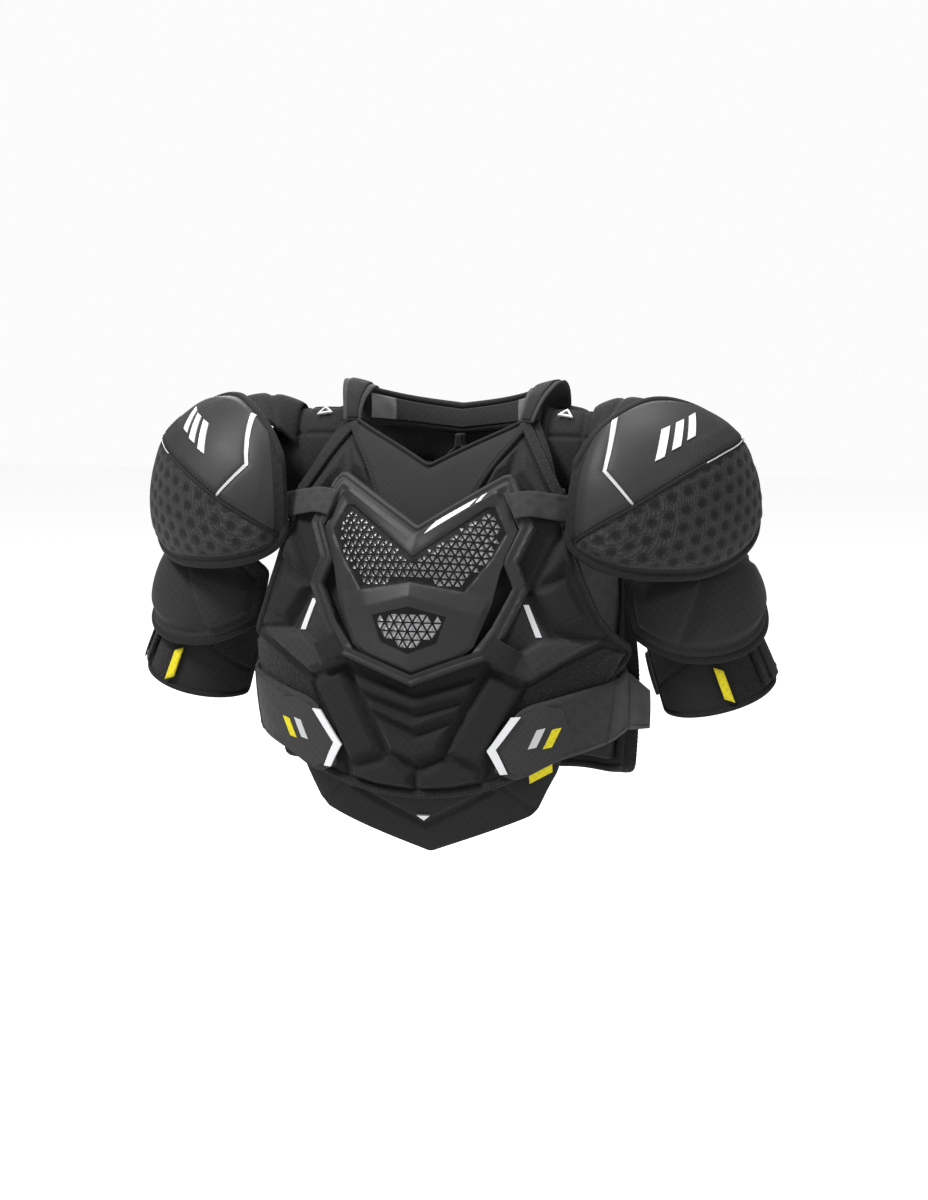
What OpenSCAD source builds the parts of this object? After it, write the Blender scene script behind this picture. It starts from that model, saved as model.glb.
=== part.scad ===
// Ice hockey shoulder pads, senior size, as an assembly of separate pieces.
// Frame: +Z up, the wearer faces -Y, +X is the wearer's left. The origin is below
// the neck opening on the mid-plane, level with the lowest tip of the belly pad.
// Millimetres.

/* [Torso] */
// Half width of the trunk at the arm holes, outside the foam
trunk_half_w = 174; // [160:1:186]
// Half depth of the chest, outside the foam
chest_half_d = 128; // [120:1:136]
// Half depth of the back, outside the foam
back_half_d = 104; // [96:1:112]
// Squareness of the chest's cross-section
chest_n = 2.5; // [2.1:0.1:2.7]
// Squareness of the back's cross-section
back_n = 3; // [2.3:0.1:3.2]
// Foam thickness of the front and back panels
foam_t = 10; // [8:0.5:11]

/* [Arms] */
// Direction a shoulder cap faces, degrees outward from straight ahead
cap_facing = 38; // [34:1:42]
// Half width of a shoulder cap
cap_half_w = 105; // [100:1:108]
// Depth of a shoulder cap's dome
cap_depth = 90; // [84:1:92]
// Outside radius of the arm cuff
cuff_r = 58; // [52:1:59]

/* [Chest plate] */
// How far the chest plate's ridge stands out from the foam
plate_ridge = 22; // [16:1:26]
// Wall of the moulded chest plate
plate_t = 3; // [2:0.5:4]

/* [Hang loop] */
// Radius of the opening for a coat hook or peg
loop_r = 10; // [8:0.5:12]
// Width of the webbing
loop_w = 20; // [16:1:25]

/* [Hidden] */
gap = 1.2;                 // air between layers that lie on each other
liner_t = 3;               // mesh lining
shell_t = 2.5;             // moulded plastic inserts
strap_t = 3;               // elastic and webbing with its hook facing
liner_d0 = 0;              // layers are counted outward from the wearer
foam_d0 = liner_d0 + liner_t + gap;
foam_d1 = foam_d0 + foam_t;

cap_centre = [182, -6, 312];
cap_half_h = 104;
cap_sweep = 68;            // half angle that the cap covers round the arm
cap_low = 29;              // and below and above its centre
cap_high = 76;
arm_top = [186, 12, 314];  // the arm's centre line
arm_low = [240, 24, 165];
arm_facing = 42;
neck_x = 84;               // half width of the neck opening
neck_front_z = 345;        // bottom of the V neck
ridge_z = 403;             // top of the shoulders

// ---- Curves ----

// Smooth curve through [key, value] pairs with rising keys, flat beyond its ends
function segment(k, p, i = 0) = (i >= len(p) - 2 || k < p[i + 1][0]) ? i : segment(k, p, i + 1);
function slope(p, i) =
    let (a = p[max(i - 1, 0)], b = p[min(i + 1, len(p) - 1)]) (b[1] - a[1]) / (b[0] - a[0]);
function curve(k, p) =
    let (t = min(max(k, p[0][0]), p[len(p) - 1][0]),
         i = segment(t, p), a = p[i], b = p[i + 1], h = b[0] - a[0], s = (t - a[0]) / h)
    a[1] * (1 + 2 * s) * (1 - s) * (1 - s) + b[1] * s * s * (3 - 2 * s)
    + h * (slope(p, i) * s * (1 - s) * (1 - s) - slope(p, i + 1) * s * s * (1 - s));
function steps(a, b, n) = [for (i = [0:n]) a + (b - a) * i / n];
function mix(a, b, s) = a + (b - a) * s;
function unit(v) = v / norm(v);

// ---- Solids from grids of points ----

// A closed solid between two grids of points of the same size. Columns run to the right
// and rows run up, as seen from outside. A ring's last column joins its first.
module sheet(outer, inner, ring = false) {
    nc = len(outer);
    nr = len(outer[0]);
    o = nc * nr;
    function at(i, j) = (i % nc) * nr + j;
    wide = ring ? nc - 1 : nc - 2;
    faces = concat(
        [for (i = [0:wide], j = [0:nr - 2], f = [
            [at(i, j), at(i, j + 1), at(i + 1, j + 1)],
            [at(i, j), at(i + 1, j + 1), at(i + 1, j)],
            [o + at(i, j), o + at(i + 1, j + 1), o + at(i, j + 1)],
            [o + at(i, j), o + at(i + 1, j), o + at(i + 1, j + 1)]]) f],
        [for (i = [0:wide], f = [
            [at(i, 0), at(i + 1, 0), o + at(i + 1, 0)],
            [at(i, 0), o + at(i + 1, 0), o + at(i, 0)],
            [at(i, nr - 1), o + at(i + 1, nr - 1), at(i + 1, nr - 1)],
            [at(i, nr - 1), o + at(i, nr - 1), o + at(i + 1, nr - 1)]]) f],
        ring ? [] : [for (j = [0:nr - 2], f = [
            [at(0, j), o + at(0, j), o + at(0, j + 1)],
            [at(0, j), o + at(0, j + 1), at(0, j + 1)],
            [at(nc - 1, j), o + at(nc - 1, j + 1), o + at(nc - 1, j)],
            [at(nc - 1, j), at(nc - 1, j + 1), o + at(nc - 1, j + 1)]]) f]
    );
    polyhedron(concat([for (c = outer, p = c) p], [for (c = inner, p = c) p]), faces);
}

module both(side) {
    if (side > 0) children();
    else mirror([1, 0, 0]) children();
}

// ---- The trunk's form: the surface that rests on the wearer ----

inset = foam_d1;
half_w = [[0, 128], [60, 136], [125, 152], [190, trunk_half_w - inset], [260, 166], [330, 168], [420, 168]];
half_front = [[0, 72], [40, 96], [74, chest_half_d - inset - 2], [120, chest_half_d - inset],
    [190, chest_half_d - inset - 2], [250, 103], [300, 86], [345, 60], [372, 34], [392, 10]];
back_w = [[0, 150], [66, 157], [125, 160], [190, trunk_half_w - inset], [260, 166], [330, 168], [420, 168]];
half_back = [[0, 78], [60, back_half_d - inset - 4], [150, back_half_d - inset],
    [250, back_half_d - inset - 5], [330, 72], [370, 58], [400, 48], [430, 40]];

function square(side) = side < 0 ? chest_n : back_n;
// A point of the trunk at angle t from straight ahead (side -1) or straight behind (side 1)
function trunk(t, z, side) = [
    sign(t) * curve(z, side < 0 ? half_w : back_w) * pow(abs(sin(t)), 2 / square(side)),
    side * curve(z, side < 0 ? half_front : half_back) * pow(abs(cos(t)), 2 / square(side)), z];
function trunk_normal(t, z, side) =
    let (a = min(max(t, -88), 88), e = 1)
    -side * unit(cross(trunk(a + e, z, side) - trunk(a - e, z, side),
                       trunk(a, z + e, side) - trunk(a, z - e, side)));
function trunk_angle(x, side) =
    sign(x) * asin(pow(min(abs(x) / (trunk_half_w - inset), 1), square(side) / 2));
function on_trunk(x, z, d, side) =
    let (t = trunk_angle(x, side)) trunk(t, z, side) + d * trunk_normal(t, z, side);

// A layer of the front (side -1) or back (side 1) panel between two distances from the
// wearer. xs are its columns, low(x) and high(x) its lower and upper edges.
module layer(xs, lows, highs, d0, d1, rows, side) {
    order = side < 0 ? [0:len(xs) - 1] : [len(xs) - 1:-1:0];
    function grid(d) = [for (i = order) [for (z = steps(lows[i], highs[i], rows))
        on_trunk(xs[i], z, d, side)]];
    sheet(grid(d1), grid(d0));
}

function mirrored(xs) = concat([for (i = [len(xs) - 1:-1:1]) -xs[i]], xs);
// Columns of a panel as a share of the trunk's nominal half width
half_cols = [0, 18, 36, 54, 70, 84, 96, 108, 118, 128, 138, 148, 158.5];
panel_cols = mirrored(half_cols);

// ---- Front ----

chest_low = [[0, 74], [40, 77], [80, 86], [108, 102], [128, 130], [144, 160], [158.5, 184]];
chest_high = [[0, neck_front_z], [neck_x, 386], [98, 358], [108, 330], [114, 296],
    [124, 262], [138, 226], [150, 206], [158.5, 194]];
function chest_top(x) = lookup(abs(x), chest_high);
function chest_bottom(x) = curve(abs(x), chest_low);

module chest_panel() {
    color("#2b2b2d")
    layer(panel_cols, [for (x = panel_cols) chest_bottom(x)],
        [for (x = panel_cols) chest_top(x) - (abs(x) < neck_x ? 14 : 0)], foam_d0, foam_d1, 9, -1);
}

module chest_liner() {
    cols = mirrored([0, 18, 36, 54, 70, 84, 96, 107, 117, 126]);
    color("#3c3c3e")
    layer(cols, [for (x = cols) chest_bottom(x) + 8],
        [for (x = cols) chest_top(x) - 30], liner_d0, liner_d0 + liner_t - 1.6, 9, -1);
}

// Smooth gusset that lines the V neck and lies on the foam above the chest plate
module neck_bib() {
    cols = mirrored([0, 14, 28, 42, 56, 68, 79]);
    function top(x) = mix(neck_front_z, 386, min(abs(x) / neck_x, 1));
    color("#474749")
    layer(cols, [for (x = cols) mix(305, 372, pow(abs(x) / neck_x, 1.3))],
        [for (x = cols) top(x)], foam_d1 + gap, foam_d1 + gap + 2.5, 4, -1);
}

patch_cols = [84, 94, 104, 114, 124, 134, 143];
module loop_patch(side) {
    color("#1b1b1c") both(side)
    layer(patch_cols, [for (x = patch_cols) curve(x, [[84, 96], [110, 108], [130, 132], [151, 170]])],
        [for (x = patch_cols) curve(x, [[84, 112], [100, 150], [112, 168], [151, 190]]) - 6],
        foam_d1 + 0.6, foam_d1 + 2, 3, -1);
}

// Belly pad, tucked up behind the front panel's hem
extension_cols = mirrored([0, 22, 44, 66, 88, 110, 121, 137]);
module extension_pad() {
    color("#2f2f31")
    layer(extension_cols, [for (x = extension_cols) lookup(abs(x), [[0, 0], [121, 44], [137, 88]])],
        [for (x = extension_cols) 132 - abs(x) * 0.1], -foam_t - 1, -gap * 2, 6, -1);
}

module extension_hook_strip() {
    cols = mirrored([0, 22, 45, 68]);
    color("#161617")
    layer(cols, [for (x = cols) 104], [for (x = cols) 122], -gap * 1.6, -gap * 1.1, 1, -1);
}

module size_tag() {
    cols = [60, 72, 84];
    color("#f0e020")
    layer(cols, [for (x = cols) 66 + (x - 60) * 0.3], [for (x = cols) 78 + (x - 60) * 0.3],
        foam_d1 + gap, foam_d1 + gap + 1, 1, -1);
}

// ---- Chest plate ----

plate_d0 = foam_d1 + 4;
// Outline from the V notch down the left side, as width and height
plate_cols = mirrored([0, 14, 28, 42, 56, 66, 76, 86, 93]);
function plate_low(x) = lookup(abs(x), [[0, 176], [56, 194], [70, 208], [84, 230], [93, 250]]);
function plate_high(x) = lookup(abs(x), [[0, 297], [68, 338], [75, 334], [93, 308]]);
function plate_crown(x, z) =
    let (s = (z - plate_low(x)) / (plate_high(x) - plate_low(x)), e = 1 - pow(abs(x) / 93, 2))
    (plate_ridge - 9) * e * sin(180 * min(max(s, 0), 1)) * (1 - 0.35 * s) + 6 * e;

function plate_grid(cols, lows, highs, d, rows) = [for (i = [0:len(cols) - 1])
    [for (z = steps(lows[i], highs[i], rows)) on_trunk(cols[i], z, d + plate_crown(cols[i], z), -1)]];

module chest_plate() {
    lows = [for (x = plate_cols) plate_low(x) + 7];
    highs = [for (x = plate_cols) plate_high(x) - 7];
    color("#4d4e50") difference() {
        sheet(plate_grid(plate_cols, lows, highs, plate_d0 + 4 + plate_t, 8),
            plate_grid(plate_cols, lows, highs, plate_d0 + 4, 8));
        plate_window(0);
    }
}

// The plate's two ventilated windows, straight through it from the front
module plate_window(inner) {
    upper = [[-78, 316], [-66, 322], [0, 282], [66, 322], [78, 316], [76, 300], [48, 246],
        [0, 256], [-48, 246], [-76, 300]];
    lower = [[-40, 232], [0, 238], [40, 232], [30, 202], [0, 194], [-30, 202]];
    for (outline = [upper, lower]) translate([0, -90, 0]) rotate([90, 0, 0])
        linear_extrude(120) offset(delta = -inner) polygon(outline);
}

// The soft rim that carries the plate, a closed band round its edge
module plate_rim() {
    n = 48;
    function edge(k) = let (s = k / n * 4, f = s - floor(s), q = floor(s))
        q == 0 ? [mix(0, 93, f), plate_high(mix(0, 93, f))]
        : q == 1 ? [mix(93, 0, f), plate_low(mix(93, 0, f))]
        : q == 2 ? [-mix(0, 93, f), plate_low(mix(0, 93, f))]
        : [-mix(93, 0, f), plate_high(mix(93, 0, f))];
    mid = [0, 250];
    function rim_point(k, out, d) =
        let (p = edge(k), v = unit(p - mid), q = p + out * v)
        on_trunk(q[0], q[1], d, -1);
    color("#38383a")
    sheet([for (k = [0:n - 1]) [rim_point(k, 6, plate_d0 + 4), rim_point(k, -5, plate_d0 + 4)]],
        [for (k = [0:n - 1]) [rim_point(k, 6, plate_d0), rim_point(k, -5, plate_d0)]], true);
}

// Screen behind the plate's windows
module plate_mesh() {
    cols = mirrored([0, 16, 32, 48, 64, 78]);
    lows = [for (x = cols) plate_low(x) + 14];
    highs = [for (x = cols) plate_high(x) - 14];
    color("#c8c8c4")
    sheet(plate_grid(cols, lows, highs, plate_d0 + 2.4, 6),
        plate_grid(cols, lows, highs, plate_d0 + 1.2, 6));
}

module plate_badge() {
    cols = [16, 30, 44, 56];
    color("silver")
    sheet(plate_grid(cols, [for (x = cols) plate_high(x) - 20], [for (x = cols) plate_high(x) - 11],
            plate_d0 + 5.5 + plate_t, 1),
        plate_grid(cols, [for (x = cols) plate_high(x) - 20], [for (x = cols) plate_high(x) - 11],
            plate_d0 + 4.5 + plate_t, 1));
}

// Four elastic keepers that tether the plate's rim to the foam
module plate_retainers() {
    color("#262628")
    for (side = [-1, 1]) both(side) {
        keeper(95, 312, 15, 28);
        keeper(62, 187, 24, 24);
    }
}
module keeper(x, z, reach, height) {
    cols = [x, x + reach / 3, x + 2 * reach / 3, x + reach];
    layer(cols, [for (c = cols) z - height / 2 + (c - x) * 0.3],
        [for (c = cols) z + height / 2 + (c - x) * 0.3],
        plate_d0 + 4 + gap, plate_d0 + 4 + gap + 2, 2, -1);
}

// ---- Shoulders ----

// Padded bridge over the shoulder: part of an ellipse from the chest to the back
arch_cols = [93, 106, 120, 134, 148, 160];
function arch_point(x, a, d) =
    let (drop = curve(x, [[93, 0], [134, 2], [160, 14]]), deep = a < 90 ? 40 : 46)
    [x, -(deep - foam_t + d) * cos(a), ridge_z - drop - 83 + (83 - foam_t + d) * sin(a)];
module shoulder_arch(side) {
    angles = steps(18, 152, 12);
    color("#29292b") both(side)
    sheet([for (x = arch_cols) [for (a = angles) arch_point(x, a, foam_t)]],
        [for (x = arch_cols) [for (a = angles) arch_point(x, a, 0)]]);
}

// Webbing loop that ties the neck of the front panel over the shoulder to the collar
module collar_loop(side) {
    path = [[neck_x - 2, -32, 398], [neck_x, -14, 412], [neck_x + 3, 10, 421],
        [neck_x + 5, 32, 422], [neck_x + 6, 46, 415]];
    w = 13;
    function up(i) = let (a = path[max(i - 1, 0)], b = path[min(i + 1, 4)], v = unit(b - a))
        [0, -v[2], v[1]];
    color("#4b4b4d") both(side)
    sheet([for (s = [-w, w]) [for (i = [0:4]) path[i] + [s, 0, 0] + 2 * up(i)]],
        [for (s = [-w, w]) [for (i = [0:4]) path[i] + [s, 0, 0]]]);
}

// ---- Back ----

back_low = [[0, 52], [60, 58], [110, 62], [140, 62], [157, 68]];
back_high = [[0, 372], [60, 382], [90, 396], [110, 392], [126, 366], [142, 290], [150, 210], [157, 160]];
module back_panel() {
    cols = mirrored([0, 18, 36, 54, 72, 90, 106, 118, 128, 138, 148, 157]);
    color("#2b2b2d")
    layer(cols, [for (x = cols) lookup(abs(x), back_low)],
        [for (x = cols) lookup(abs(x), back_high)], foam_d0, foam_d1, 9, 1);
}

module back_liner() {
    cols = mirrored([0, 18, 36, 54, 72, 90, 106, 118, 128, 138]);
    color("#39393b")
    layer(cols, [for (x = cols) lookup(abs(x), back_low) + 8],
        [for (x = cols) lookup(abs(x), back_high) - 30], liner_d0, liner_d0 + liner_t, 5, 1);
}

module spine_plate() {
    cols = [-26, -13, 0, 13, 26];
    color("#3f4042")
    layer(cols, [for (x = cols) 96 + abs(x) * 0.5], [for (x = cols) 352 - abs(x) * 0.6],
        foam_d1 + gap, foam_d1 + gap + 6, 8, 1);
}

module scapula_pad(side) {
    cols = [38, 54, 70, 86, 102, 118];
    color("#303032") both(side)
    layer(cols, [for (x = cols) 206 + abs(x - 78) * 0.4],
        [for (x = cols) 342 - abs(x - 66) * 0.5], foam_d1 + gap, foam_d1 + gap + 7, 5, 1);
}

// Stand-up band round the back of the neck
module collar() {
    n = 14;
    function rim(a, r, z) = [(neck_x - 4 + r) * sin(a), (52 + r) * cos(a) + 4, z];
    color("#303032")
    sheet([for (a = steps(76, -76, n)) [for (z = [388, 399, 410])
            rim(a, 10, z + 10 * abs(sin(a)) - 10)]],
        [for (a = steps(76, -76, n)) [for (z = [388, 399, 410])
            rim(a, 0, z + 10 * abs(sin(a)) - 10)]]);
}

// Webbing loop inside the back of the neck, with a round opening for a coat hook
module hang_loop() {
    loop_z = 350;
    wall = 2.4;
    front_y = 59;
    color("#232325") translate([0, front_y - loop_w, loop_z]) rotate([-90, 0, 0]) difference() {
        union() {
            cylinder(r = loop_r + wall, h = loop_w, $fn = 48);
            translate([-loop_r * 0.6, -loop_r - 16, 0]) cube([loop_r * 1.2, 16 + loop_r / 2, loop_w]);
        }
        translate([0, 0, -1]) cylinder(r = loop_r, h = loop_w + 2, $fn = 48);
    }
}

// ---- Belts ----

// Elastic belt from the back panel's corner to the flap's fold
belt_fold = [168, -24];
belt_end = [175, 70];
module belt_base(side) {
    function band(s) = [mix(117, 100, s), mix(144, 118, s), mix(171, 136, s)];
    function grid(d) = [for (s = steps(0, 1, 5))
        let (p = mix(belt_fold + [0, 1], belt_end, s)) [for (z = band(s)) [p[0] + d, p[1], z]]];
    color("#38383a") both(side) sheet(grid(strap_t), grid(0));
}

// Free end of the belt, held on the front panel by hook and loop
flap_cols = [72, 82, 92, 104, 116, 128, 139, 149];
flap_d0 = foam_d1 + 3.4;
module belt_flap(side) {
    lows = [for (x = flap_cols) curve(x, [[72, 96], [92, 90], [120, 104], [149, 114]])];
    highs = [for (x = flap_cols) curve(x, [[72, 122], [88, 148], [112, 158], [149, 169]])];
    function grid(d) = concat(
        [for (i = [0:len(flap_cols) - 1]) [for (z = steps(lows[i], highs[i], 4))
            on_trunk(flap_cols[i], z, flap_d0 + d, -1)]],
        [[for (z = steps(116, 171, 4)) [belt_fold[0] + d, belt_fold[1] - 1, z]]]);
    color("#3a3a3c") both(side) sheet(grid(strap_t), grid(0));
}

module belt_badge(side) {
    cols = [64, 71, 80, 90];
    color("#dcdcda") both(side)
    layer(cols, [for (x = cols) 114 - (x - 64) * 0.9], [for (x = cols) 118 + (x - 64) * 1.1],
        flap_d0 + strap_t + 0.8, flap_d0 + strap_t + 2.3, 3, -1);
}

// ---- Shoulder caps ----

function cap_axes() = [
    [sin(cap_facing), -cos(cap_facing), 0], [cos(cap_facing), sin(cap_facing), 0], [0, 0, 1]];
// Point of a cap's dome, shrunk by d all round, at sweep l round the arm and height angle f
function cap_point(l, f, d) = let (a = cap_axes()) cap_centre
    + a[0] * (cap_depth - d) * cos(f) * cos(l)
    + a[1] * (cap_half_w - d) * cos(f) * sin(l)
    + a[2] * (cap_half_h - d) * sin(f);
function cap_round(l) = pow(1 - pow(abs(l) / (cap_sweep + 2), 2.6), 1 / 2.6);
function cap_top(l, inset) = (cap_high - inset) * cap_round(l);
// The lower edge rises towards the back of the arm
function cap_bottom(l, inset) = (inset - cap_low + 20 * pow(max(l, 0) / cap_sweep, 1.6)) * cap_round(l);

module cap_layer(d0, d1, inset) {
    ls = steps(-cap_sweep + inset, cap_sweep - inset, 14);
    function grid(d) = [for (l = ls) [for (s = steps(0, 1, 8))
        cap_point(l, mix(cap_bottom(l, inset), cap_top(l, inset), s), d)]];
    sheet(grid(d0), grid(d1));
}
module cap_cover(side) { color("#333335") both(side) cap_layer(0, 7, 0); }
module cap_shell(side) { color("#55565a") both(side) cap_layer(9.9, 9.9 + shell_t, 6); }
module cap_liner(side) { color("#1f1f21") both(side) cap_layer(13.4, 17.4, 3); }

// Fabric wing that hinges the cap to the top of the shoulder
module cap_wing(side) {
    function inner(s) = [mix(142, 168, s), mix(-34, 52, s), ridge_z + 2.5 - 34 * pow(2 * s - 0.9, 2)];
    function outer(s) = let (l = mix(-52, 52, s)) cap_point(l, cap_top(l, 0) + 1.5, 7);
    function grid(d) = [for (s = steps(0, 1, 8)) [for (r = steps(0, 1, 4))
        mix(inner(s), outer(s), 1 - r) + [0, 0, d + 5 * sin(180 * r)]]];
    color("#2d2d2f") both(side) sheet(grid(4), grid(0));
}

// ---- Arms ----

arm_axis = unit(arm_low - arm_top);
arm_front = unit(cross(cross(arm_axis, [sin(arm_facing), -cos(arm_facing), 0]), arm_axis));
arm_side = cross(arm_axis, arm_front);
// Point round the arm: a degrees towards the trunk, s down the arm, r from its axis
function round_arm(a, s, r) = arm_top + s * arm_axis + r * (cos(a) * arm_front + sin(a) * arm_side);
bicep_r = [[14, 40], [40, 52], [62, 62], [84, 68], [106, 69], [126, 66], [142, 63]];

module arm_layer(a0, a1, n, top, end, rows, d0, d1, radii) {
    function grid(d) = [for (a = steps(a0, a1, n))
        [for (s = steps(lookup(a, end), lookup(a, top), rows)) round_arm(a, s, curve(s, radii) + d)]];
    sheet(grid(d1), grid(d0));
}

module bicep_guard(side) {
    color("#2e2e30") both(side)
    arm_layer(-80, 86, 12, [[-80, 52], [0, 18], [86, 52]],
        [[-80, 96], [-50, 128], [0, 142], [50, 128], [86, 96]], 6, -9, 0, bicep_r);
}
module bicep_shell(side) {
    color("#55565a") both(side)
    arm_layer(-60, 60, 8, [[-60, 66], [0, 48], [60, 66]], [[-60, 104], [0, 122], [60, 104]], 3,
        -12.2, -10.2, bicep_r);
}

cuff_radii = [[80, 44], [140, cuff_r - 8], [200, cuff_r - 4]];
module cuff(side) {
    color("#1d1d1e") both(side)
    arm_layer(-104, 118, 16, [[-104, 108], [118, 108]], [[-104, 176], [0, 188], [118, 178]], 4,
        -8, 0, cuff_radii);
}
strap_top = [[-240, 124], [-76, 132], [0, 144]];
strap_end = [[-240, 164], [-76, 174], [0, 182]];
strap_hinge = -76;
module arm_strap(side) {
    color("#141415") both(side)
    arm_layer(-234, strap_hinge - 3, 12, strap_top, strap_end, 2, 1, 1 + strap_t, cuff_radii);
}
module strap_tail(side) {
    color("#161617") both(side)
    arm_layer(strap_hinge + 1.5, -16, 6, strap_top, strap_end, 2, 1, 1 + strap_t, cuff_radii);
}
module strap_tag(side) {
    color("#f0d020") both(side)
    arm_layer(20, 28, 2, [[20, 152], [28, 146]], [[20, 182], [28, 176]], 2, 1, 2.4, cuff_radii);
}

// Elastic tab that hangs the bicep guard inside the cap
module arm_link(side) {
    color("#202022") both(side)
    translate(arm_top + 6 * arm_axis + [-14, -10, 0]) cube([28, 20, 3]);
}

// ---- Assembly ----

chest_panel();
chest_liner();
neck_bib();
loop_patch(1);  // loop_patch_left
loop_patch(-1);  // loop_patch_right
chest_plate();
plate_rim();
plate_mesh();
plate_badge();
plate_retainers();
extension_pad();
extension_hook_strip();
size_tag();
shoulder_arch(1);  // shoulder_arch_left
shoulder_arch(-1);  // shoulder_arch_right
collar_loop(1);  // collar_loop_left
collar_loop(-1);  // collar_loop_right
back_panel();
back_liner();
spine_plate();
scapula_pad(1);  // scapula_pad_left
scapula_pad(-1);  // scapula_pad_right
collar();
hang_loop();
belt_base(1);  // belt_base_left
belt_base(-1);  // belt_base_right
belt_flap(1);  // belt_flap_left
belt_flap(-1);  // belt_flap_right
belt_badge(1);  // belt_badge_left
belt_badge(-1);  // belt_badge_right
cap_cover(1);  // cap_cover_left
cap_cover(-1);  // cap_cover_right
cap_shell(1);  // cap_shell_left
cap_shell(-1);  // cap_shell_right
cap_liner(1);  // cap_liner_left
cap_liner(-1);  // cap_liner_right
cap_wing(1);  // cap_wing_left
cap_wing(-1);  // cap_wing_right
bicep_guard(1);  // bicep_guard_left
bicep_guard(-1);  // bicep_guard_right
bicep_shell(1);  // bicep_shell_left
bicep_shell(-1);  // bicep_shell_right
cuff(1);  // cuff_left
cuff(-1);  // cuff_right
arm_strap(1);  // arm_strap_left
arm_strap(-1);  // arm_strap_right
strap_tail(1);  // strap_tail_left
strap_tail(-1);  // strap_tail_right
strap_tag(1);  // strap_tag_left
strap_tag(-1);  // strap_tag_right
arm_link(1);  // arm_link_left
arm_link(-1);  // arm_link_right
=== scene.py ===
"""Ice hockey shoulder pads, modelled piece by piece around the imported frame.

Shapes are worked out in millimetres in the frame's own axes (the wearer faces -Y, +Z up) and turned
into metres where a mesh is made. The trunk, cap and arm forms follow the same driving sizes as the part.
"""
import math
import bpy
import bmesh
import numpy as np
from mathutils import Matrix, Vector
from mathutils.geometry import delaunay_2d_cdt


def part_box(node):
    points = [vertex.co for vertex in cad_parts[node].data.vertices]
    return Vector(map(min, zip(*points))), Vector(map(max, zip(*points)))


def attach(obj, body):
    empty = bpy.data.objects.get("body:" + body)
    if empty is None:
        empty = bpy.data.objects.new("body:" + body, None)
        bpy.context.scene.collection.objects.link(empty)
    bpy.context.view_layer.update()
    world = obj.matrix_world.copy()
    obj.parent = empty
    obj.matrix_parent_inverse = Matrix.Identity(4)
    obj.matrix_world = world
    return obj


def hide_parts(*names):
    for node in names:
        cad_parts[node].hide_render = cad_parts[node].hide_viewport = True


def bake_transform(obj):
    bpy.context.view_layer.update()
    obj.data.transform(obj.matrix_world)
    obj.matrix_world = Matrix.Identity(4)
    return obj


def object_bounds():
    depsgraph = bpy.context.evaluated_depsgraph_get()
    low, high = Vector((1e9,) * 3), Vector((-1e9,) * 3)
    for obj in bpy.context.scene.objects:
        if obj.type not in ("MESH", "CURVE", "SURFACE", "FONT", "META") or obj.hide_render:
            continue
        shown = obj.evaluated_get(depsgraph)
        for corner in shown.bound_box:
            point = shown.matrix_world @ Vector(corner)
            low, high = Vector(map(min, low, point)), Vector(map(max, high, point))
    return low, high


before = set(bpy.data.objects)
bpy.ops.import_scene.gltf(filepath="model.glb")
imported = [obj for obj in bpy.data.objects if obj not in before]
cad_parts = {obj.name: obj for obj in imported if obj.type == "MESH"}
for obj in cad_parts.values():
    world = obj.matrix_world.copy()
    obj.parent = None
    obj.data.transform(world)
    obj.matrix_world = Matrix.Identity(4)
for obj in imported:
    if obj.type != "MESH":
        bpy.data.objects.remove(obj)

CAD_BOX = [list(corner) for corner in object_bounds()]
MM = 0.001


def node_box(node):
    """Lowest and highest corner of a CAD node in millimetres."""
    low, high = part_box(node)
    return np.array(low) / MM, np.array(high) / MM


# ---------------------------------------------------------------- materials


class Nodes:
    """A small helper to write a material's node graph."""

    def __init__(self, name):
        self.material = bpy.data.materials.new(name)
        self.material.use_nodes = True
        self.tree = self.material.node_tree
        self.shader = self.tree.nodes["Principled BSDF"]
        self.place = self.add("ShaderNodeTexCoord").outputs["Object"]

    def add(self, kind, inputs=None, **settings):
        node = self.tree.nodes.new(kind)
        for key, value in settings.items():
            setattr(node, key, value)
        for key, value in (inputs or {}).items():
            self.link(value, node.inputs[key])
        return node

    def link(self, value, socket):
        if isinstance(value, bpy.types.NodeSocket):
            self.tree.links.new(value, socket)
        else:
            socket.default_value = value

    def scaled(self, per_metre, turn=(0, 0, 0)):
        inputs = {"Vector": self.place, "Scale": per_metre, "Rotation": turn}
        return self.add("ShaderNodeMapping", inputs).outputs[0]

    def noise(self, scale, detail=3.0, rough=0.6):
        return self.add("ShaderNodeTexNoise", {"Vector": self.place, "Scale": scale, "Detail": detail,
                                               "Roughness": rough}).outputs["Fac"]

    def math(self, operation, a, b=0.0):
        node = self.add("ShaderNodeMath", operation=operation)
        self.link(a, node.inputs[0])
        self.link(b, node.inputs[1])
        return node.outputs[0]

    def ramp(self, value, low, high):
        node = self.add("ShaderNodeMapRange", {"Value": value, "To Min": low, "To Max": high})
        return node.outputs[0]

    def mix(self, factor, a, b):
        node = self.add("ShaderNodeMix", data_type="RGBA")
        self.link(factor, node.inputs[0])
        self.link(a, node.inputs[6])
        self.link(b, node.inputs[7])
        return node.outputs[2]

    def bump(self, height, strength, distance):
        node = self.add("ShaderNodeBump", {"Height": height, "Strength": strength, "Distance": distance})
        self.link(node.outputs[0], self.shader.inputs["Normal"])

    def finish(self, color, rough, sheen=0.0, gloss=0.5):
        self.link(color, self.shader.inputs["Base Color"])
        self.link(rough, self.shader.inputs["Roughness"])
        self.shader.inputs["Specular IOR Level"].default_value = gloss
        self.shader.inputs["Sheen Weight"].default_value = sheen * 0.3
        self.shader.inputs["Sheen Roughness"].default_value = 0.45
        return self.material


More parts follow.
